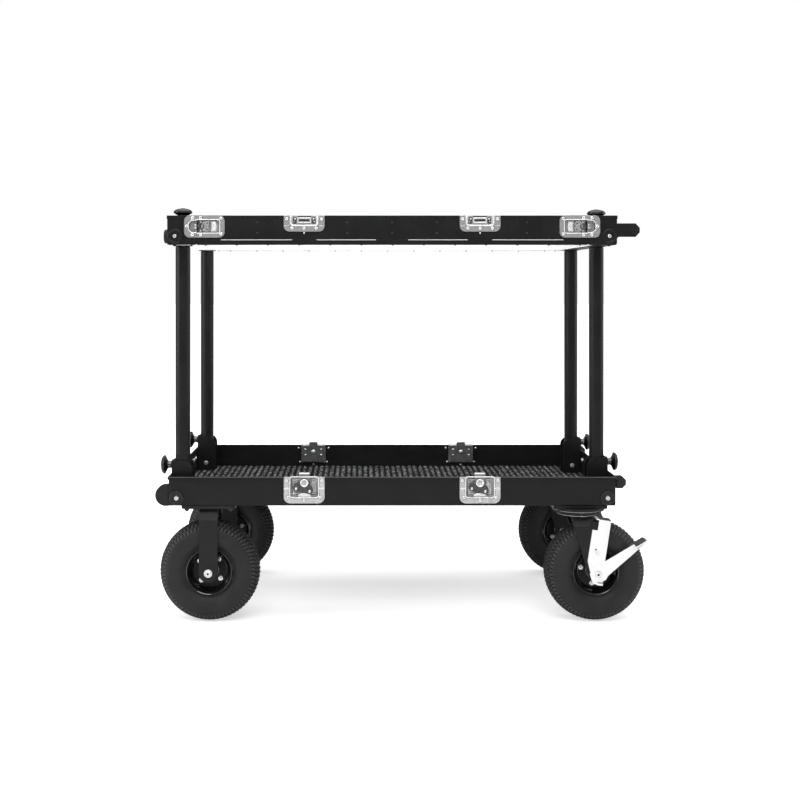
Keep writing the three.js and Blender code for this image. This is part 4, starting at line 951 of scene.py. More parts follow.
    # bright ovals filling the wing's lobe holes: painted light on the pan seen through them
    ovals = placed([slab(inset(lobe, 0.2), "y", 1.0, 2.6, 0.7, 3) for lobe in lobes], hinge, tilt)
    top = boxOf("lower_tray")[1][2]
    for row, side in corners:
        dish, wingName = f"latch_dish_{row}_{side}", f"latch_wing_{row}_{side}"
        spot = ((middleOf(dish)[0], rows[row] * tray["halfY"], top), aboutZ(0 if row == "front" else pi))
        groups = [
            ([plate, button], latchZinc), ([bead, *rails, *rivets, crescent, hookBar, collar], brightBeadAndPaintedLight),
            ([pan, floor, well, *studs, *hookStuds, stubs], panZinc), ([hook, hookFrame], midSteel),
            ([*shadeGaps, *wells], paintedShadeSteel), ([cover, tab], coverSteel), (screws, boltSteel),
        ]
        makePiece(f"{dish}_body", [(placed(group, *spot), skin) for group, skin in groups], "base",
                  [dish])
        makePiece(f"{wingName}_plate", [(placed(wing, *spot), wingSteel), (placed(ovals, *spot), brightBeadAndPaintedLight)], wingName,
                  [wingName])


deck = {
    "low": 966.5, "top": 1041.4, "half": 290.2, "seam": 497.5, "end": 573.0, "sheet": 3.0, "lid": 9.0, "lidProud": 1.3,
    "bossIn": 19.5, "bossZ": 988.7, "bossRadius": 19.0, "seat": 24.6, "bareTo": 516.0, "pivotX": 554.7,
    "armOut": 286.5, "armIn": 280.5, "puckY": 261.0,
}
corner = {
    "width": 102.5, "height": 56.0, "round": 14.0, "over": 31.7, "gap": 0.15, "x": (10.6, 90.6), "z": (10.6, 45.2),
    "depth": 8.8, "ringX": 42.5, "ringZ": -27.9, "ringRadius": 7.5,
    "rivets": [(20.6, 5.9), (41.6, 5.9), (93.6, 7.7), (6.0, 27.2), (20.6, 49.4), (41.6, 49.4), (93.6, 47.2)],
}


# half of a corner latch's flange and pan, u from its housing edge and v down from the rim, cut at the seam
def cornerHalf(onHousing):
    w, h, r, seam, depth = (corner[k] for k in ("width", "height", "round", "over", "depth"))
    (u0, u1), (v0, v1) = corner["x"], corner["z"]
    if onHousing:
        end = seam - corner["gap"]
        outer = [[end, 0], [0, 0, r], [0, -h, r], [end, -h]]
        inner = [[end, -v1 + 1.5], [u0 + 8, -v1 + 1.5, 3], [u0, -v1 + 9, 4], [u0, -v0 - 9, 4],
                 [u0 + 8, -v0 - 1.5, 3], [end, -v0 - 1.5]]
    else:
        end = seam + corner["gap"]
        outer = [[end, -h], [w, -h, r], [w, 0, r], [end, 0]]
        inner = [[end, -v0], [u1, -v0, 5.5], [u1, -v1, 5.5], [end, -v1]]
    path = rounded(inner, 6)
    normal = awayFrom(path, np.array([seam, -(v0 + v1) / 2]))
    flange = slab(rounded([*outer, *inner], 8), "y", -1.8, 0.0, 0.5, 2)
    bead = ridge(path, -1.5, 1.2, 1.2)
    outward = ridge(rounded(outer, 8), -0.9, 0.5, 1.25)
    section = np.array([[0.0, -0.6], [-0.6, depth - 2.0], [-2.2, depth - 0.3], [-2.2, depth + 1.0], [0.6, depth + 1.0],
                        [1.4, depth - 1.0], [1.2, -0.6]])
    wall = pressedWall(path, section, normal)
    floor = slab(counterclockwise(path - normal * 0.4), "y", depth - 0.2, depth + 1.0, 0.2)
    lo, hi = (0, seam) if onHousing else (seam, w)
    rivets, shadeGaps = rivetSet([(u, -v) for u, v in corner["rivets"] if lo <= u < hi], -1.8)
    # a dark line just inside the pan's wall: painted shade along it
    shadeGaps.append(ridge(path - normal * 1.7, -1.8, 0.45, 0.12, sides=6))
    return {"plate": [flange, outward], "bead": [bead, *rivets], "gap": shadeGaps, "pan": [wall, floor]}


# where a corner latch stands: u runs away from the housing's end, outwards is -y
def atCorner(shapes, row, side):
    place = (side * (deck["seam"] + corner["over"]), rows[row] * deck["half"], deck["top"])
    return placed(shapes, place, None, (-side, -rows[row], 1))


# end housing: cheeks, roof, floor and walls of sheet round a hollow, a proud lid, bosses, seats and latch halves
def buildHousings():
    low, top, half, seam, end, sheet, proud, seat, r = (deck[k] for k in (
        "low", "top", "half", "seam", "end", "sheet", "lidProud", "seat", "bossRadius"))
    inside, bossX, bossZ = half - sheet + 0.2, end - deck["bossIn"], deck["bossZ"]
    panX = seam + corner["over"] - corner["x"][0] + 1.2
    panLow, panTop = top - corner["z"][1] - 0.6, top - corner["z"][0] + 0.6
    cheek = rounded([
        [seam, low + 3, 2], [seam + 4, low, 3], [end, low, 5], [end, top - 0.3, 1], [seam, top - 0.3, 0.8],
        [seam, panTop], [panX, panTop, 4], [panX, panLow, 4], [seam, panLow]], 6)
    lid = rectangle(seam, end + proud, -half - proud, half + proud, 2.2)
    hollow = rectangle(seam + 2, end - 2, -half + 2, half - 2, 1.5)
    seatRing = [[0, -2], [seat - 0.6, -2], [seat, -1.4], [seat, 0.2], [0, 0.2]]
    boss = [[0, -1], [r, -1], [r, 2.6], [r - 0.5, 3.5], [r - 1.5, 4.0], [r - 4.6, 4.0], [r - 5.6, 3.2], [r - 6.4, 2.0],
            [8.6, 2.0], [7.6, 2.9], [0, 2.9]]
    puck = [[0, 0], [18.0, 0], [18.0, 7.6], [17.4, 9.8], [16.0, 11.1], [14.3, 11.6], [6.5, 11.6], [5.6, 8.4], [0, 8.4]]
    halfDish = cornerHalf(True)
    hook = [
        slab(rectangle(20.2, 31.2, -34.2, -20.6, 1.2), "y", 3.0, 6.6, 0.6),
        bar(2.1, (21.8, 3.2, -20.2), (21.8, 3.2, -34.6), 18, 0.4),
    ]
    studs = [dome((27.5, 3.0, v), frontward, 2.0, 1.2) for v in (-23.6, -31.2)]
    groups = [(halfDish["plate"], cornerZinc), (halfDish["bead"] + studs, brightBeadAndPaintedLight), (halfDish["pan"], latchInner),
              (halfDish["gap"], paintedShadeSteel), (hook, midSteel)]
    for side, word in ((-1, "left"), (1, "right")):
        bolts, pucks, sheets, trims = [], [], [], []
        shapes = [slab(cheek, "y", *sorted((row * (half - sheet), row * half)), 0.7, 2) for row in (-1, 1)]
        shapes.append(block(seam, end - 0.2, -inside, inside, top - sheet, top - 0.4, 0.4))
        shapes.append(block(seam, seam + sheet, -inside + 14, inside - 14, low + 0.3, top - sheet, 0.3))
        if side < 0:
            sheets.append(block(seam, end - 0.3, -inside, inside, low, low + sheet, 0.5))
            shapes.append(block(end - sheet, end, -inside, inside, low + 1.0, top - 1.0, 0.5))
        else:
            slotX, slotTop, between = deck["pivotX"] - 7.5, bossZ + 36.5, deck["armIn"] - 0.7
            bare = deck["bareTo"]
            sheets.append(block(seam, bare, -inside, inside, low, low + sheet, 0.5))
            shapes.append(block(bare - 0.5, slotX, -inside, inside, low, low + sheet, 0.5))
            shapes.append(block(slotX - 0.4, end - 0.3, -between, between, low, low + sheet, 0.5))
            wall = rounded([
                [-between, low + 1], [between, low + 1], [between, slotTop, 2], [inside, slotTop], [inside, top - 1],
                [-inside, top - 1], [-inside, slotTop], [-between, slotTop, 2]], 4)
            shapes.append(slab(wall, "x", end - sheet, end, 0.5))
        shapes.append(slab(lid, "z", top - deck["lid"], top, 0.8, 3, holes=[hollow]))
        shapes.append(slab(inset(lid, 1.0), "z", top - 2.2, top - 0.05, 0.6))
        mastX, mastY = np.abs(middleOf(f"mast_front_{word}"))[:2]
        for row in (-1, 1):
            outwards = (0, row, 0)
            shapes.append(lathe(seatRing, (mastX, row * mastY, low), upward, 56))
            trims.append(lathe(boss, (bossX, row * half, bossZ), outwards, 64))
            bolts.append(socketScrew((bossX, row * (half + 2.9), bossZ), outwards, 4.8, 2.6))
            shapes.append(dome((bossX + 2, row * (half - (9 if side < 0 else 17)), low), downward, 5.4, 3.6, 20))
            shapes.append(dome((seam + 14, row * (half - 9), low), downward, 3.0, 2.2, 16))
        if side < 0:
            for y in (-deck["puckY"], deck["puckY"]):
                pucks.append(lathe(puck, (end, y, bossZ), (1, 0, 0), 56))
                bolts.append(socketScrew((end + 8.4, y, bossZ), (1, 0, 0), 4.6, 0.9))
        flip = (side, 1, 1)
        own = ((shapes, coat), (bolts, boltSteel), (trims, trimCoat))
        parts = [(placed(group, scale=flip), skin) for group, skin in own]
        parts += [(atCorner(group, row, side), skin) for row in rows for group, skin in groups]
        parts.append((placed(sheets, scale=flip), bareSheetAndPaintedLight))
        if pucks:
            parts.append((placed(pucks, scale=flip), bumperBlack))
        makePiece(f"{word}EndHousing", parts, "deck", [f"{word}_end_housing"])


platform = {
    "rail": 11.5, "rise": 2.3, "screwPitch": 79.6, "screwShift": 1.5, "screws": 6,
    "battens": [[-1, -0.877], [-0.513, -0.387], [-0.083, 0.083], [0.387, 0.513], [0.877, 1]],
}


# deck platform: black folded rails, a bright sheet under them, battens, a bright strip between the battens that paints
# a highlight along the slit under the top tray, and screws under the front edge
def buildPlatform():
    low, high = boxOf("deck_platform")
    end, half, bottom = high[0], high[1], low[2]
    rail, rise, many = platform["rail"], platform["rise"], platform["screws"]
    dark, screws = [], []
    for row in (-1, 1):
        section = rounded([
            [half - 14, bottom, 0.4], [half, bottom, 2.0], [half, bottom + rail + 0.5, 1.0],
            [half - 2.4, bottom + rail + 0.5, 0.6], [half - 2.4, bottom + 2.4, 1.0], [half - 14, bottom + 2.4, 0.4],
        ], 4) * [row, 1]
        dark.append(slab(section, "x", -end, end, 0.3, 1))
        for k in range(-many, many + 1):
            spot = (k * platform["screwPitch"] + platform["screwShift"], row * (half - 7), bottom)
            screws.append(dome(spot, downward, 2.9, 2.2, 16))
    for a, b in platform["battens"]:
        dark.append(block(a * end, b * end, -half + 0.2, half - 0.2, bottom + 2.6, bottom + rail + rise, 0.5))
    sheets = [
        block(-end + 0.5, end - 0.5, -half + 2.5, half - 2.5, bottom + 0.3, bottom + 2.5, 0.3),
        # the upper sheet shows only as a bright line between the battens: a painted highlight along the slit
        block(-end + 0.8, end - 0.8, -half + 0.6, half - 0.6, bottom + rail + 0.6, bottom + rail + 2.2, 0.3),
    ]
    makePiece("deckPlatform", [(dark, coat), (sheets, bareSheetAndPaintedLight), (screws, darkSleeve)], "deck",
              ["deck_platform"])


keeper = {
    "x": 224.0, "half": 36.0, "notch": 30.0, "width": 52.0, "height": 41.0, "corner": 14.5, "depth": 25.4,
    "rivets": [(-44.4, -8.8), (44.4, -8.8), (-30.8, -32.4), (0, -32.4), (30.8, -32.4)],
    "section": [[0.0, -0.6], [-0.6, 6.4], [-2.2, 8.3], [-2.2, 9.4], [0.6, 9.4], [1.4, 7.4], [1.2, -0.6]],
}
fieldRivet = {"pitch": 114.3, "drops": (17.6, 44.6), "count": 3, "skip": 2}


# keeper half dish, u from its middle along the wall and v down from the rim, outwards is -y
def keeperDish():
    w, h, r, half, depth = (keeper[k] for k in ("width", "height", "corner", "half", "depth"))
    outer = [[-w, 0, 0.8], [-w, -h, r], [w, -h, r], [w, 0, 0.8]]
    mouth = [[-half + 1, 0], [-half + 2, -depth, 6.5], [half - 2, -depth, 6.5], [half - 1, 0]]
    path = rounded(mouth, 7)
    wall = pressedWall(path, np.array(keeper["section"]), awayFrom(path, np.array([0, -10])))
    plate = slab(rounded([*outer, *mouth[::-1]], 8), "y", -1.5, 0, 0.45)
    lines = [ridge([[s * 38.5, -26.6], [s * 50.4, -26.6]], -1.4, 1.1, 0.8) for s in (-1, 1)]
    rivets, shadeGaps = rivetSet(keeper["rivets"], -1.5)
    box = slab(hanging(17.5, -4.6, -21.0, 1, 2.5, 4), "y", 2.4, 8.0, 0.9,
               holes=[rectangle(-13.5, 13.5, -15.6, -9.4, 1.0)])
    frames = [bar(1.1, (-15.5, 2.3, v), (15.5, 2.3, v), 16) for v in (-6.4, -17.6)]
    frames += [bar(0.9, (s * 16.2, 2.4, -5.4), (s * 16.2, 2.4, -20.0), 14) for s in (-1, 1)]
    frames += [bar(1.3, (s * 31.6, 4.4, -1.6), (s * 31.6, 4.4, -22.0), 14) for s in (-1, 1)]
    ovals = [slab(rectangle(*sorted((s * 20.0, s * 28.4)), -20.6, -4.2, 4.0, 7), "y", 6.2, 8.0, 0.7) for s in (-1, 1)]
    spots = [dome((s * 23.6, 6.3, -8.8), frontward, 2.3, 1.8, 16) for s in (-1, 1)]
    bottoms = [dome((s * 25.4, 6.3, -16.0), frontward, 1.7, 1.2, 14) for s in (-1, 1)]
    floor = slab(counterclockwise(path), "y", 8.2, 9.8, 0.4)
    slot = slab(rectangle(-14.2, 14.2, -16.2, -8.8, 1.0), "y", 6.8, 8.1, 0.3)
    brow = slab(rectangle(-17.0, 17.0, -3.6, -0.5, 0.6), "y", 3.0, 8.1, 0.4)
    return {
        "plate": [plate, *lines], "bright": [ridge(path, -1.2, 1.7, 1.4), *rivets, *frames, *spots],
        "inner": [floor, wall, box], "steel": [slot, brow, *ovals],
        "cover": [slab(hanging(38, -0.3, -33, 1, 5, 5), "y", 9.9, 11.2, 0.5)], "gap": shadeGaps,
        "silver": [*bottoms, dome((0, 0, -44.6), frontward, 2.3, 1.0, 14)],
    }


# the tray's half of a corner latch: flange and pan, hook base, ring, crescent and two bumps
def cornerDish():
    halfDish, r = cornerHalf(False), corner["ringRadius"]
    ring = lathe([[0, 0], [r - 1.6, 0], [r - 1.6, 2.6], [r - 0.6, 3.2], [r + 0.9, 3.8], [r + 0.9, 5.2], [r + 0.2, 6.2],
                  [r - 1.2, 6.6], [r - 2.2, 6.0], [r - 2.8, 5.2], [0, 4.8]],
                 (corner["ringX"], 5.6, corner["ringZ"]), frontward, 44)
    hookBase = slab(rectangle(32.3, 38.5, -34.0, -21.0, 1.2), "y", 4.6, 7.6, 0.6)
    crescent = slab(rounded([
        [66.5, -15.0, 2], [68.5, -22.0, 5], [69.2, -27.9, 12], [68.5, -33.8, 5], [66.5, -41.0, 2], [80.5, -41.0, 2.5],
        [82.0, -27.9, 10], [80.5, -15.0, 2.5]], 5), "y", 2.6, 7.0, 0.9, 3)
    bumps = [dome((76.0, 2.7, v), frontward, 2.6, 1.4, 18) for v in (-18.8, -35.6)]
    return {
        "plate": halfDish["plate"], "bright": [*halfDish["bead"], crescent, *bumps], "inner": halfDish["pan"],
        "steel": [hookBase, ring], "gap": halfDish["gap"],
    }


# top tray: notched long walls, end walls and floor, with the keepers, the corner latches and a wing in each of those
def buildTopTray():
    low, high = boxOf("top_tray")
    end, half, bottom, top, sheet = high[0], deck["half"], low[2], high[2], deck["sheet"]
    keepX, panHalf, notch = keeper["x"], keeper["half"], top - keeper["notch"]
    panX = deck["seam"] + corner["over"] - corner["x"][1] - 1.2
    panLow, panTop = top - corner["z"][1] - 0.6, top - corner["z"][0] + 0.6
    right = [[end, bottom, 1], [end, panLow], [panX, panLow, 4], [panX, panTop, 4], [end, panTop], [end, top, 0.8],
             [keepX + panHalf, top, 0.6], [keepX + panHalf, notch, 7], [keepX - panHalf, notch, 7],
             [keepX - panHalf, top, 0.6]]
    wall = rounded(right + [[-p[0], *p[1:]] for p in right[::-1]], 5)
    shapes, rivets = [], []
    many = fieldRivet["count"]
    for row in (-1, 1):
        shapes.append(slab(wall, "y", *sorted((row * (half - sheet), row * half)), 0.8, 3))
        rivets += [
            dome((k * fieldRivet["pitch"], row * half, top - drop), (0, row, 0), 2.3, 1.0, 14)
            for k in range(-many, many + 1) if abs(k) != fieldRivet["skip"] for drop in fieldRivet["drops"]]
    inside = half - sheet + 0.3
    for side in (-1, 1):
        shapes.append(block(*sorted((side * (end - sheet), side * end)), -inside, inside, bottom, top - 0.2, 0.6))
    shapes.append(block(-end + 1, end - 1, -half + 1, half - 1, bottom, bottom + sheet, 0.8))
    looks = {"plate": cornerZinc, "bright": brightBeadAndPaintedLight, "inner": latchInner, "steel": wingSteel, "cover": coverSteel,
             "gap": paintedShadeSteel, "silver": boltSteel}
    groups = {name: [] for name in looks}
    dish, fitting = keeperDish(), cornerDish()
    for row in rows:
        for x in (-keepX, keepX):
            for name, group in dish.items():
                groups[name] += placed(group, (x, rows[row] * half, top), None, (1, -rows[row], 1))
    for row, side in corners:
        for name, group in fitting.items():
            groups[name] += atCorner(group, row, sides[side])
    parts = [(shapes, coat), (rivets, darkSleeve)] + [(groups[name], skin) for name, skin in looks.items()]
    makePiece("topTray", parts, "top_tray", ["top_tray"])
    wing, r = butterflyOutline(14.0, 21.0, 6.0)[:, ::-1] * [-1, 1], corner["ringRadius"]
    lobes = [rectangle(13.2, 17.4, s * 8.2 - 2.0, s * 8.2 + 2.0, 1.9, 5) for s in (-1, 1)]
    barrels = [bar(2.7, (0, 1.4, s * (r + 1.2)), (0, 1.4, s * (r + 5.4)), 18, 0.4) for s in (-1, 1)]
    parts = placed([slab(wing, "y", 0.2, 2.6, 0.7, 3, holes=lobes), *barrels], (corner["ringX"], 0, corner["ringZ"]))
    for row, side in corners:
        name = f"corner_wing_{row}_{side}"
        makePiece(f"{name}_plate", [(atCorner(parts, row, sides[side]), latchInner)], name, [name])


# push handle: two flat arms with cut corners and a round grip between them, its ends shown as plugs
def buildHandle():
    x, z, armIn, armOut = (deck[k] for k in ("pivotX", "bossZ", "armIn", "armOut"))
    low, top, reach = z - 1.7, z + 32.9, x + 77.0
    t, around = np.linspace(radians(215), radians(75), 14), np.linspace(0, 2 * pi, 28, endpoint=False)
    eye = np.column_stack([x + 18.0 * np.cos(t), z + 18.0 * np.sin(t)])[::-1]
    hole = np.column_stack([x + 5.2 * np.cos(around), z + 5.2 * np.sin(around)])
    outline = np.concatenate([rounded([
        [x + 8, z - 16.2, 3], [x + 17.4, z - 8.5, 1], [x + 22.6, low, 4], [reach - 10.5, low, 1.4],
        [reach, low + 11.5, 1.4], [reach, top - 11.5, 1.4], [reach - 10.5, top, 1.4], [x - 6, top, 4]], 4), eye])
    plug = [[0, -0.4], [12.7, -0.4], [12.7, 0.3], [12.2, 0.9], [11.2, 0.9], [10.6, 0.2], [0, 0.2]]
    weld = [[12.4, -0.2], [15.4, -0.2], [14.2, 0.9], [12.9, 2.6], [12.4, 2.6]]
    gripX, gripZ = x + 60.4, z + 17.1
    arms, grips = [], []
    for row in (-1, 1):
        arms.append(slab(outline, "y", *sorted((row * armIn, row * armOut)), 0.9, 3, holes=[hole]))
        grips.append(lathe(plug, (gripX, row * armOut, gripZ), (0, row, 0), 48))
        grips.append(lathe(weld, (gripX, row * armIn, gripZ), (0, -row, 0), 48, loop=True))
    grips.append(bar(12.7, (gripX, -armIn - 1, gripZ), (gripX, armIn + 1, gripZ), 56))
    makePiece("pushHandle", [(arms, coat), (grips, trimCoat)], "push_handle", ["push_handle"])


bumper = {"length": 22.0, "strip": 10.0, "stripHeight": 18.0, "radius": 27.3, "axis": -578.6, "cut": 9.5}


# bumpers: a buffer at each corner, round on the left end and chamfered on the right, and a low strip between them
def buildBumpers():
    long, deep, tall, r, axis = (bumper[k] for k in ("length", "strip", "stripHeight", "radius", "axis"))
    low, high = boxOf("left_bumper")
    z, back = middleOf("left_bumper")[2] - 2.6, high[0]
    t = np.linspace(radians(84), radians(276), 44)
    curve = np.column_stack([axis + r * np.cos(t), z + r * np.sin(t)])[::-1]
    outline = np.concatenate([[[back, z - r + 0.2]], curve, [[back, z + r - 0.2]]])
    ring = [[18.4, -0.3], [20.4, -0.3], [20.2, 0.5], [19.4, 0.8], [18.6, 0.5]]
    plug = [[0, -0.3], [6.4, -0.3], [6.2, 0.5], [5.0, 0.8], [0, 0.8]]
    shapes = []
    for y in (low[1], high[1] - long):
        shapes.append(slab(outline, "y", y, y + long, 2.4, 4))
        for face, way in ((y, -1), (y + long, 1)):
            shapes.append(lathe(ring, (axis - 1.5, face, z), (0, way, 0), 48, loop=True))
            shapes.append(lathe(plug, (axis - 1.5, face, z), (0, way, 0), 32))
    shapes.append(block(back - deep, back, low[1] + 8, high[1] - 8, z - tall, z, 1.6))
    makePiece("leftBumper", [(shapes, bumperBlack)], "base", ["left_bumper"])
    low, high = boxOf("right_bumper")
    c = bumper["cut"]
    outline = rounded([[low[0], low[2] + 0.4, 1], [high[0] - c, low[2], 2], [high[0], low[2] + c, 2],
                       [high[0], high[2] - c, 2], [high[0] - c, high[2], 2], [low[0], high[2] - 0.4, 1]], 4)
    shapes = [slab(outline, "y", y, y + long, 1.8, 3) for y in (low[1], high[1] - long)]
    face = inset(counterclockwise(outline), 5.5)
    shapes += [slab(face, "y", y, y + long + 1.0, 0.5) for y in (low[1] - 0.5, high[1] - long - 0.5)]
    shapes.append(block(low[0], low[0] + deep, low[1] + 8, high[1] - 8, low[2], low[2] + tall, 1.6))
    makePiece("rightBumper", [(shapes, bumperBlack)], "base", ["right_bumper"])


wheel = {
    "radius": 129.0, "half": 42.0, "steps": 576, "across": 58, "blocks": 72, "rowPitch": 11.0, "grooves": 4.5,
    "zigzag": 4.4, "stagger": 0.38, "treadFrom": (109.5, 113.0), "lines": ((84.0, 0.5, 1.2, 0.4), (72.5, 0.4, 1.0, 0.3)),
    "powers": (0.86, 0.82), "bead": 61.4, "middle": 92.0, "boltCircle": 35.0, "discHalf": 9.2,
    "spin": {"front_left": 50, "front_right": -10, "rear_left": 20, "rear_right": 35},
}


# smooth step of a value between two ends: s^2 * (3 - 2 s) with s its share of the way
def smoothStep(value, low, high):
    share = np.clip((value - low) / (high - low), 0, 1)
    return share ** 2 * (3 - 2 * share)


# tyre: r = middle + lift*sin^p, y = half*cos^q round each section, sunk by groove depth where the tread is cut, with
# fine lines raised on its sides; the tread value is low in the grooves, for their painted shade, and high on the block
# tops, for their dust
def tyreGrid():
    lift, bead = wheel["radius"] - wheel["middle"], wheel["bead"]
    phi = np.linspace(radians(-42), radians(222), wheel["across"])
    radius, y = (np.sign(v) * np.abs(v) ** p for v, p in zip((np.sin(phi), np.cos(phi)), wheel["powers"]))
    radius = np.concatenate([[bead, bead + 0.4], wheel["middle"] + lift * radius, [bead + 0.4, bead]])
    y = np.concatenate([[31.0, 32.4], wheel["half"] * y, [-32.4, -31.0]])
    angle = np.linspace(0, 2 * pi, wheel["steps"], endpoint=False)
    gridY, gridAngle = np.meshgrid(y, angle)
    gridRadius = np.broadcast_to(radius, gridY.shape)
    turn = gridAngle / (2 * pi / wheel["blocks"])
    wave = np.abs((turn % 1) * 2 - 1)
    lane = (gridY + wheel["zigzag"] * wave) / wheel["rowPitch"]
    row = np.floor(lane + 0.5)
    between = np.abs(lane - row) * 2
    cross = np.abs(((turn + wheel["stagger"] * row) % 1) * 2 - 1)
    tile = smoothStep(1 - between, 0.12, 0.4) * smoothStep(1 - cross, 0.1, 0.44)
    zone = smoothStep(gridRadius, *wheel["treadFrom"])
    sunk = gridRadius - wheel["grooves"] * (1 - tile) * zone
    # the tread value: low in the grooves to paint their shade, high on the block tops for dust
    wearAndPaintedLight = np.where(zone > 0.05, tile - 0.25, 0.14)
    raised = sum(high * smoothStep(-np.abs(gridRadius - at), -far, -near) for at, high, far, near in wheel["lines"])
    outY = gridY + np.sign(gridY) * raised
    rings = np.stack([sunk * np.cos(gridAngle), outY, sunk * np.sin(gridAngle)], -1)
    return loft(rings, caps=False, loop=True), wearAndPaintedLight.ravel()


# the four tyres, each with its tread value, for wear and painted groove shade, on every point
def buildTyres():
    shape, wearAndPaintedLight = tyreGrid()
    for row, side in corners:
        name = f"tyre_{row}_{side}"
        place = (*middleOf(name)[:2], wheel["radius"])
        makePiece(f"{name}_rubber", [([moved(shape, place)], tyreBlack)], f"wheel_{row}_{side}",
                  [name], {"tread": wearAndPaintedLight}, 60, False)


# wheel hub: deep rim bowl on both sides of a middle disc, hub tube, bolts and the valve
def buildHubs():
    half = [
        [8.4, 45.0], [19.2, 45.0], [20.0, 44.2], [20.0, 14.0], [21.0, 11.0], [23.5, 9.6], [26.0, 9.2], [42.0, 9.2],
        [43.6, 8.6], [44.6, 9.0], [46.2, 10.4], [48.0, 14.0], [49.4, 19.0], [50.6, 24.0], [51.8, 28.0], [53.4, 31.2],
        [55.2, 33.6], [57.2, 35.2], [59.0, 35.9], [60.4, 35.6], [61.0, 34.6], [60.8, 33.4], [60.0, 33.0], [56.0, 33.0],
        [56.0, 22.0], [52.0, 10.0],
    ]
    profile = half + [[r, -y] for r, y in half[::-1]]
    bead = [[58.4, 35.4], [59.2, 36.4], [60.6, 36.1], [61.3, 34.8], [60.6, 34.4], [59.4, 35.2]]
    disc = [[19.6, 8.8], [42.4, 8.8], [42.8, 9.3], [42.4, 9.8], [19.6, 9.8]]
    cap = [[8.5, 0], [15.6, 0], [15.6, 0.5], [14.6, 0.9], [8.5, 0.9]]
    for row, side in corners:
        name = f"{row}_{side}"
        middle = np.array([*middleOf(f"tyre_{name}")[:2], wheel["radius"]])
        rim = lathe(profile, middle, backward, 96, loop=True)
        flanges = [lathe(shape, middle, (0, way, 0), 96, loop=True) for shape in (bead, disc) for way in (-1, 1)]
        bolts = []
        for k in range(4):
            a = radians(wheel["spin"][name] + 90 * k)
            spoke = np.array([cos(a), 0, sin(a)]) * wheel["boltCircle"]
            for way in (-1, 1):
                spot = middle + spoke + [0, way * wheel["discHalf"], 0]
                bolts += hexHead(spot, (0, way, 0), 4.6, 4.8, 0.4)
                bolts.append(bar(2.6, spot, middle + spoke + [0, way * 16.0, 0], 16, 0.6))
        a, out = radians(wheel["spin"][name] + 45), rows[row]
        spoke = np.array([cos(a), 0, sin(a)])
        valve = [bar(radius, middle + spoke * near + [0, out * y0, 0], middle + spoke * far + [0, out * y1, 0], 16)
                 for radius, near, y0, far, y1 in ((3.0, 47, 9, 44, 30), (3.9, 44.6, 26, 43.6, 34))]
        caps = [lathe(cap, middle + [0, way * 45.0, 0], (0, way, 0), 36, loop=True) for way in (-1, 1)]
        makePiece(f"hub_{name}_rim", [
            ([rim], rimGloss), (flanges, coatInside), (bolts, boltSteel), (valve, rubberAndPaintedShade), (caps, darkSleeve),
        ], f"wheel_{name}", [f"wheel_hub_{name}"])


brake = {
    "x": 523.0, "tilt": 8.8, "strapIn": 51.0, "strapOut": 54.0, "leverIn": 54.5, "leverOut": 58.5, "shoeUnder": 134.8,
    "reach": 119.0, "rise": 92.0,
    # lever outline as shares of reach and rise, with the radius of each corner
    "lever": [[-0.175, 0.011, 4], [-0.025, 0.217, 6], [0.055, 0.272, 10], [1, 1, 3], [0.983, 0.815, 3],
              [0.21, -0.05, 16], [0.171, -0.152, 6], [0.067, -0.217, 5], [-0.039, -0.283, 3], [-0.109, -0.261, 3]],
}
fork = {
    "outer": 50.5, "wall": 5.0, "crown": 34.0, "shoulder": 30.0, "plate": (138.0, 100.0, 8.0, 8.0), "rigidHalf": 24.0,
    "trail": 42.0, "back": 24.0, "front": 32.0, "eye": 23.0, "axle": 129.0, "y": 238.0, "plateTop": 301.3,
}


# plate on top of a caster, in the caster's own frame, with its bolts and washers below
def casterPlate():
    length, width, thick, corner = fork["plate"]
    top = fork["plateTop"]
    plate = slab(rectangle(-length / 2, length / 2, -width / 2, width / 2, corner, 8), "z", top - thick, top, 0.9, 3)
    bolts = []
    for sx in (-1, 1):
        for sy in (-1, 1):
            spot = (sx * (length / 2 - 13), sy * (width / 2 - 13), top - thick)
            bolts += hexHead(spot, downward, 6.8, 5.4, 0.26)
            bolts.append(bar(3.4, spot, np.array(spot) - [0, 0, 8.0], 16, 0.8))
    return plate, bolts


# edge of a fork leg at each height: the eye's circle up to the tangent point, then a straight line to the crown
def legEdge(z, side, topX, topZ, trail, eye):
    offX, offZ = topX - trail, topZ - fork["axle"]
    far = np.hypot(offX, offZ)
    turn = atan2(offZ, offX) - side * np.arccos(eye / far)
    touchX, touchZ = trail + eye * cos(turn), fork["axle"] + eye * sin(turn)
    share = np.clip((z - touchZ) / (topZ - touchZ), 0, 1)
    arc = trail + side * np.sqrt(np.maximum(eye ** 2 - (z - fork["axle"]) ** 2, 0))
    return np.where(z > touchZ, touchX + (topX - touchX) * share, arc)


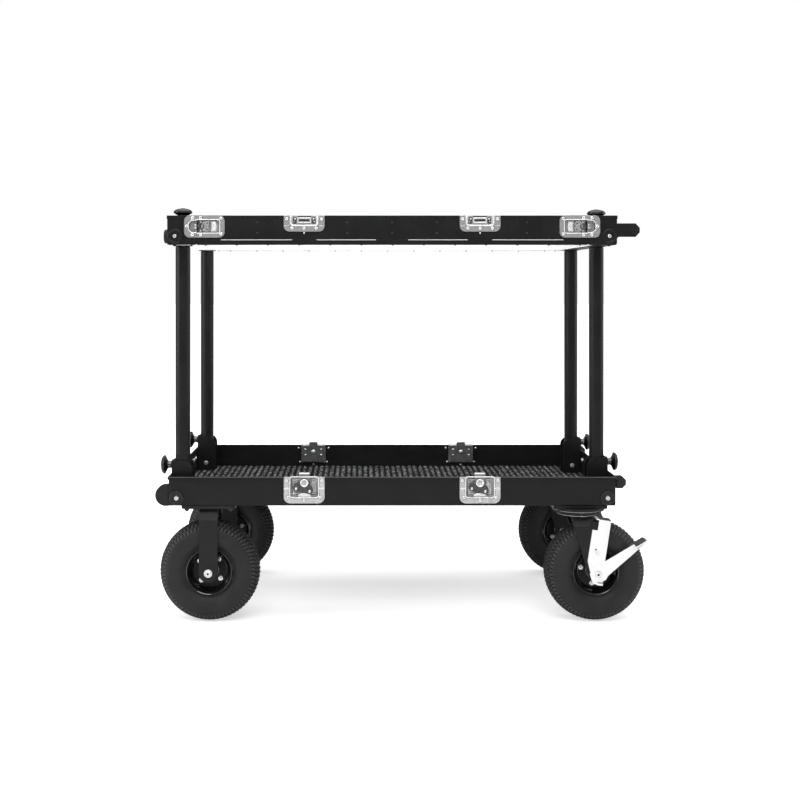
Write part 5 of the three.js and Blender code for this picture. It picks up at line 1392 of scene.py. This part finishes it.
# folded fork: one ribbon of plate, up one leg, over the shoulders and the crown and down the other leg
def forkShapes(crownTop, x0, x1, trail, eye):
    outer, wall, crown, bevel = fork["outer"], fork["wall"], fork["crown"], 0.9
    shoulder = crownTop - fork["shoulder"]
    dip = np.linspace(0.1, pi / 2, 12)
    legZ = np.concatenate([fork["axle"] - eye * np.cos(dip), np.linspace(fork["axle"] + 4, shoulder - 8, 16)])
    leg = np.column_stack([np.full(len(legZ), -outer), legZ])
    over = rounded([[-outer, 0], [-outer, shoulder, 9], [-crown, crownTop, 7], [crown, crownTop, 7],
                    [outer, shoulder, 9], [outer, 0]], 5)[1:-1]
    path = np.concatenate([leg, over, leg[::-1] * [-1, 1]])
    low = legEdge(path[:, 1], -1, x0, crownTop, trail, eye)
    high = legEdge(path[:, 1], 1, x1, crownTop, trail, eye)
    t = np.linspace(0, pi / 2, 3)
    slow, fast = bevel * (1 - np.cos(t)), bevel * (1 - np.sin(t))
    across = np.concatenate([low[:, None] + slow, high[:, None] - fast, high[:, None] - slow, low[:, None] + fast], 1)
    deep = np.concatenate([fast, slow, wall - fast, wall - slow])
    flat = path[:, None] + deep[None, :, None] * rightward(path)[:, None]
    return [loft(np.concatenate([across[..., None], flat], -1))]


# shapes of a caster put in place at a height, mirrored for the rear row
def atCaster(shapes, row, x, z=0):
    return placed(shapes, (x, rows[row] * fork["y"], z), None, (1, -rows[row], 1))


# casters above the wheels: plate and straight fork on the left, plate with race and pin and a raked fork on the right
def buildForks():
    top = fork["plateTop"] - fork["plate"][2]
    half, trail = fork["rigidHalf"], fork["trail"]
    plate, bolts = casterPlate()
    straight = [plate, *forkShapes(top + 0.3, -half, half, 0, half)]
    cup = lathe([[0, 1], [69, 1], [69, -0.4], [68.4, -2.6], [66.6, -5.0], [64.6, -6.6], [62.4, -7.2], [58, -7.2],
                 [56, -6.2], [0, -6.2]], (0, 0, top), upward, 72)
    lip = lathe([[61.6, -7.0], [63.4, -7.5], [65.2, -6.5], [65.6, -6.0], [64.2, -6.4], [62.6, -6.9]], (0, 0, top),
                upward, 72, loop=True)
    bowlSection = [[8.3, 0], [63.0, 0], [64.0, -0.8], [63.4, -3.0], [61.0, -5.8], [57.0, -8.2], [52.0, -9.8],
                   [46.0, -10.8], [38, -12.0], [8.3, -12.0]]
    edgeSection = [[48.6, -10.2], [49.2, -11.6], [51.4, -11.8], [54.0, -10.9], [55.4, -9.6], [52.0, -9.6]]
    guides = [block(-34, -17.5, -54.0, -44.5, 112, 128.7, 1.2), block(-33, -22, -55.6, -53.6, 114, 121, 0.8)]
    lug = placed(guides, (trail, 0, fork["axle"]), aboutY(radians(brake["tilt"])))
    for row in rows:
        name = f"rigid_fork_{row}_left"
        x = middleOf(name)[0]
        makePiece(f"{name}_frame", [(atCaster(straight, row, x), forkCoat), (atCaster(bolts, row, x), darkSleeve)],
                  "base", [name])
        name = f"swivel_plate_{row}_right"
        x, bottom = middleOf(name)[0], boxOf(name)[0][2]
        pin = bar(7.8, (0, 0, top), (0, 0, bottom + 2), 28)
        nut = hexHead((0, 0, bottom + 8), downward, 12.4, 8.0)
        makePiece(f"{name}_race", [
            (atCaster([plate, cup], row, x), coat), (atCaster([*bolts, pin, *nut], row, x), darkSleeve),
            (atCaster([lip], row, x), brightBeadAndPaintedLight),
        ], "base", [name])
        name = f"swivel_fork_{row}_right"
        raceTop = boxOf(name)[1][2]
        shapes = forkShapes(raceTop - 9.4, -fork["back"], fork["front"], trail, fork["eye"])
        bowl = lathe(bowlSection, (0, 0, raceTop), upward, 72, loop=True)
        edge = lathe(edgeSection, (0, 0, raceTop), upward, 96, loop=True)
        makePiece(f"{name}_frame", [
            (atCaster([*shapes, bowl, *lug], row, x), forkCoat), (atCaster([edge], row, x), brightBeadAndPaintedLight),
        ], f"caster_{row}_right", [name])


# axle bolt: hexagon head with its washer outside, nut inside, and a dark disc on the head that paints the shade of a
# drilled centre
def buildAxles():
    z = wheel["radius"]
    for row, side in corners:
        name, out = f"axle_{row}_{side}", rows[row]
        low, high = boxOf(name)
        x = middleOf(name)[0]
        headY = (low[1] if out < 0 else high[1]) - out * 7.0
        nutY = (high[1] if out < 0 else low[1]) + out * 8.0
        parts = [bar(7.8, (x, headY + out * 2, z), (x, nutY - out * 2, z), 28)]
        parts += hexHead((x, headY, z), (0, out, 0), 7.8, 6.2, 0.5)
        parts += hexHead((x, nutY, z), (0, -out, 0), 12.0, 7.4, 0.2)
        parts.append(bar(5.0, (x, nutY, z), (x, nutY - out * 10.0, z), 20, 0.8))
        # dark disc on the head: painted shade of a drilled centre
        middle = lathe([[0, 0], [3.0, 0], [3.0, 0.5], [2.5, 0.8], [0, 0.5]], (x, headY + out * 6.0, z), (0, out, 0), 24)
        body = f"caster_{row}_right" if side == "right" else "base"
        makePiece(f"{name}_bolt", [(parts, boltSteel), ([middle], darkSleeve)], body, [name])


# brake: tilted strap with shoe, slot and foot, and a lever plate with a rubber pad along its upper edge and a thin dark
# strip under its pedal that paints the shade beneath it
def buildBrakes():
    strapIn, strapOut, leverIn, leverOut, under, reach, rise = (brake[k] for k in (
        "strapIn", "strapOut", "leverIn", "leverOut", "shoeUnder", "reach", "rise"))
    ring, tilt = np.linspace(0, 2 * pi, 36, endpoint=False), aboutY(radians(brake["tilt"]))
    circle = lambda r, cx=0.0, cz=0.0: np.column_stack([cx + r * np.cos(ring), cz + r * np.sin(ring)])
    strapOutline = rounded([
        [-10, -20.6, 1.5], [17, -20.6, 2.5], [13.8, 28, 4], [13.8, under + 0.5, 1], [-16.5, under + 0.5, 0.8],
        [-16.5, 109, 1.2], [-29.8, 109, 1.2], [-29.8, 28, 8]], 5)
    openings = [rectangle(-8.5, 8.5, -8.5, 13.3, 8.4, 8), circle(2.4, -13.6, 60.2)]
    strap = placed([
        slab(strapOutline, "y", -strapOut, -strapIn, 0.7, 3, holes=openings),
        block(-24, 13.8, -strapOut, -18.0, under + 0.8, under + 3.4, 0.8),
        block(0.5, 15.5, -strapOut - 7.0, -strapIn, -27.0, -20.4, 0.8),
    ], turn=tilt)
    linings = placed([
        block(-23, 13.0, -strapIn + 1, -19.0, under, under + 1.0, 0.4),
        block(-16.0, 13.2, -strapOut - 0.4, -30, under + 2.6, under + 6.0, 1.2),
        block(1.5, 14.5, -strapOut - 7.2, -strapOut - 3, -21.4, -20.2, 0.3),
    ], turn=tilt)
    nut = placed([lathe([[0, 0], [5.6, 0], [5.6, 0.15], [4.8, 0.42], [3.4, 0.42], [3.0, 0.2], [0, 0.2]],
                        (-8.4, -strapOut, 51.4), frontward, 6)], turn=tilt)
    outline = rounded([[u * reach, v * rise, r] for u, v, r in brake["lever"]], 6)
    plate = slab(outline, "y", -leverOut, -leverIn, 0.8, 3, holes=[circle(8.2)])
    backU, backV = brake["lever"][2][:2]
    tip, turn = (reach, 0, rise), aboutY(-atan2(rise - backV * rise, reach - backU * reach))
    gusset = slab(rounded([[-30, -2.5, 1], [-30, -10, 3], [-6, -9, 3], [0, -2.5, 1]], 4), "y", -leverOut, -leverIn, 0.8)
    pedal = placed([block(-33, 2.5, -leverOut - 26, -leverIn, -3.8, 0, 0.7), gusset], tip, turn)
    grooves = [block(k, k + 2.2, -leverOut - 24.4, -leverOut - 1.1, 5.6, 7.2, 0.5) for k in np.arange(-29.5, -5, 4.2)]
    pad = block(-31.5, -2.5, -leverOut - 25, -leverOut - 0.5, -0.5, 6.4, 1.4)
    # thin dark strip under the pedal's flange: painted shade beneath it
    pedalShadeStrip = block(-32, 1.5, -leverOut - 25.4, -leverOut - 0.2, -4.8, -3.6, 0.4)
    rubber = placed([pad, *grooves, pedalShadeStrip], tip, turn)
    for row in rows:
        put = lambda group: atCaster(group, row, brake["x"], fork["axle"])
        name = f"brake_strap_{row}_right"
        makePiece(f"{name}_plate", [(put(strap), brakeZinc), (put(linings), rubberAndPaintedShade), (put(nut), boltSteel)], name,
                  [name])
        name = f"brake_lever_{row}_right"
        makePiece(f"{name}_plate", [(put([plate, *pedal]), brakeZinc), (put(rubber), rubberAndPaintedShade)], name,
                  [name])


studio = {
    "world": 0.36, "floorGlow": 0.55, "glowReach": (1.0, 3.2), "floorHalf": 40.0,
    "lens": 51.9, "sensor": 36.0, "shift": (0.0486, -0.149), "eye": (-79, -3227, 875),
    # name, place, aim, width, height, watts, spread
    "lamps": [
        ("top", (0.0, 0.2, 4.2), (0.0, 0.1, 0.0), 4.6, 4.2, 150, 180),
        ("left", (-3.1, -0.9, 1.5), (0.0, 0.0, 0.7), 1.6, 2.4, 42, 180),
        ("right", (3.3, 0.2, 1.5), (0.0, 0.0, 0.7), 1.4, 2.4, 26, 180),
        ("front", (0.0, -3.0, 3.3), (0.0, -0.3, 0.5), 2.8, 1.4, 66, 180),
        ("between", (-0.04, 0.0, 0.316), (-0.04, 0.0, 0.97), 0.92, 0.36, 2.6, 80),
    ],
}


# pale floor that shows white to the camera and keeps the shadow, soft lamps above and at both sides, plain world
def buildStage():
    camera = bpy.data.cameras.new("camera")
    camera.lens, camera.sensor_width = studio["lens"], studio["sensor"]
    camera.shift_x, camera.shift_y = studio["shift"]
    camera.clip_end = 100
    eye = bpy.data.objects.new("camera", camera)
    x, y, z = studio["eye"]
    eye.location = (middleX + x * mm, y * mm, z * mm)
    eye.rotation_euler = (radians(90), 0, 0)
    bpy.context.scene.collection.objects.link(eye)
    bpy.context.scene.camera = eye
    size = studio["floorHalf"]
    mesh = bpy.data.meshes.new("floor")
    mesh.from_pydata([(-size, -size, 0), (size, -size, 0), (size, size, 0), (-size, size, 0)], [], [(0, 1, 2, 3)])
    floor = bpy.data.objects.new("floor", mesh)
    net = Net("pale floor")
    plain = {"Base Color": grey(0.9), "Roughness": 0.75, "Specular IOR Level": 0.2}
    seen = net.node("ShaderNodeLightPath")["Is Camera Ray"]
    away = net.node("ShaderNodeVectorMath", {"operation": "LENGTH"}, {0: net.coordinate})["Value"]
    glow = net.blend(net.spread(away, *studio["glowReach"]), grey(studio["floorGlow"]), grey(1.0))
    white = {**plain, "Emission Color": glow, "Emission Strength": 1.0}
    lit, shown = (net.node("ShaderNodeBsdfPrincipled", {}, settings) for settings in (plain, white))
    mixed = net.node("ShaderNodeMixShader", {}, {0: seen, 1: lit, 2: shown})
    net.node("ShaderNodeOutputMaterial", {}, {"Surface": mixed})
    mesh.materials.append(net.material)
    bpy.context.scene.collection.objects.link(floor)
    for name, place, aim, wide, tall, power, spread in studio["lamps"]:
        lamp = bpy.data.lights.new(name, "AREA")
        lamp.shape, lamp.size, lamp.size_y, lamp.energy = "RECTANGLE", wide, tall, power
        lamp.spread = radians(spread)
        holder = bpy.data.objects.new(name, lamp)
        holder.location = place
        holder.visible_camera = False
        holder.rotation_euler = (Vector(aim) - Vector(place)).to_track_quat("-Z", "Y").to_euler()
        bpy.context.scene.collection.objects.link(holder)
    world = bpy.data.worlds.new("studio")
    bpy.context.scene.world = world
    world.use_nodes = True
    tree = world.node_tree
    tree.nodes.clear()
    path = tree.nodes.new("ShaderNodeLightPath")
    mix = tree.nodes.new("ShaderNodeMixShader")
    out = tree.nodes.new("ShaderNodeOutputWorld")
    tree.links.new(path.outputs["Is Camera Ray"], mix.inputs[0])
    for slot, strength in ((1, studio["world"]), (2, 1.0)):
        sky = tree.nodes.new("ShaderNodeBackground")
        sky.inputs["Color"].default_value = grey(1.0)
        sky.inputs["Strength"].default_value = strength
        tree.links.new(sky.outputs[0], mix.inputs[slot])
    tree.links.new(mix.outputs[0], out.inputs[0])
    bpy.context.scene.view_settings.view_transform = "Standard"


buildStage()
buildLowerTray()
buildMats()
buildMasts()
buildBrackets()
buildLockKnobs()
buildClampKnobs()
buildLatches()
print("lower deck made")
buildHousings()
buildPlatform()
buildTopTray()
buildHandle()
buildBumpers()
print("upper deck made")
buildTyres()
buildHubs()
buildForks()
buildAxles()
buildBrakes()
print("casters made")
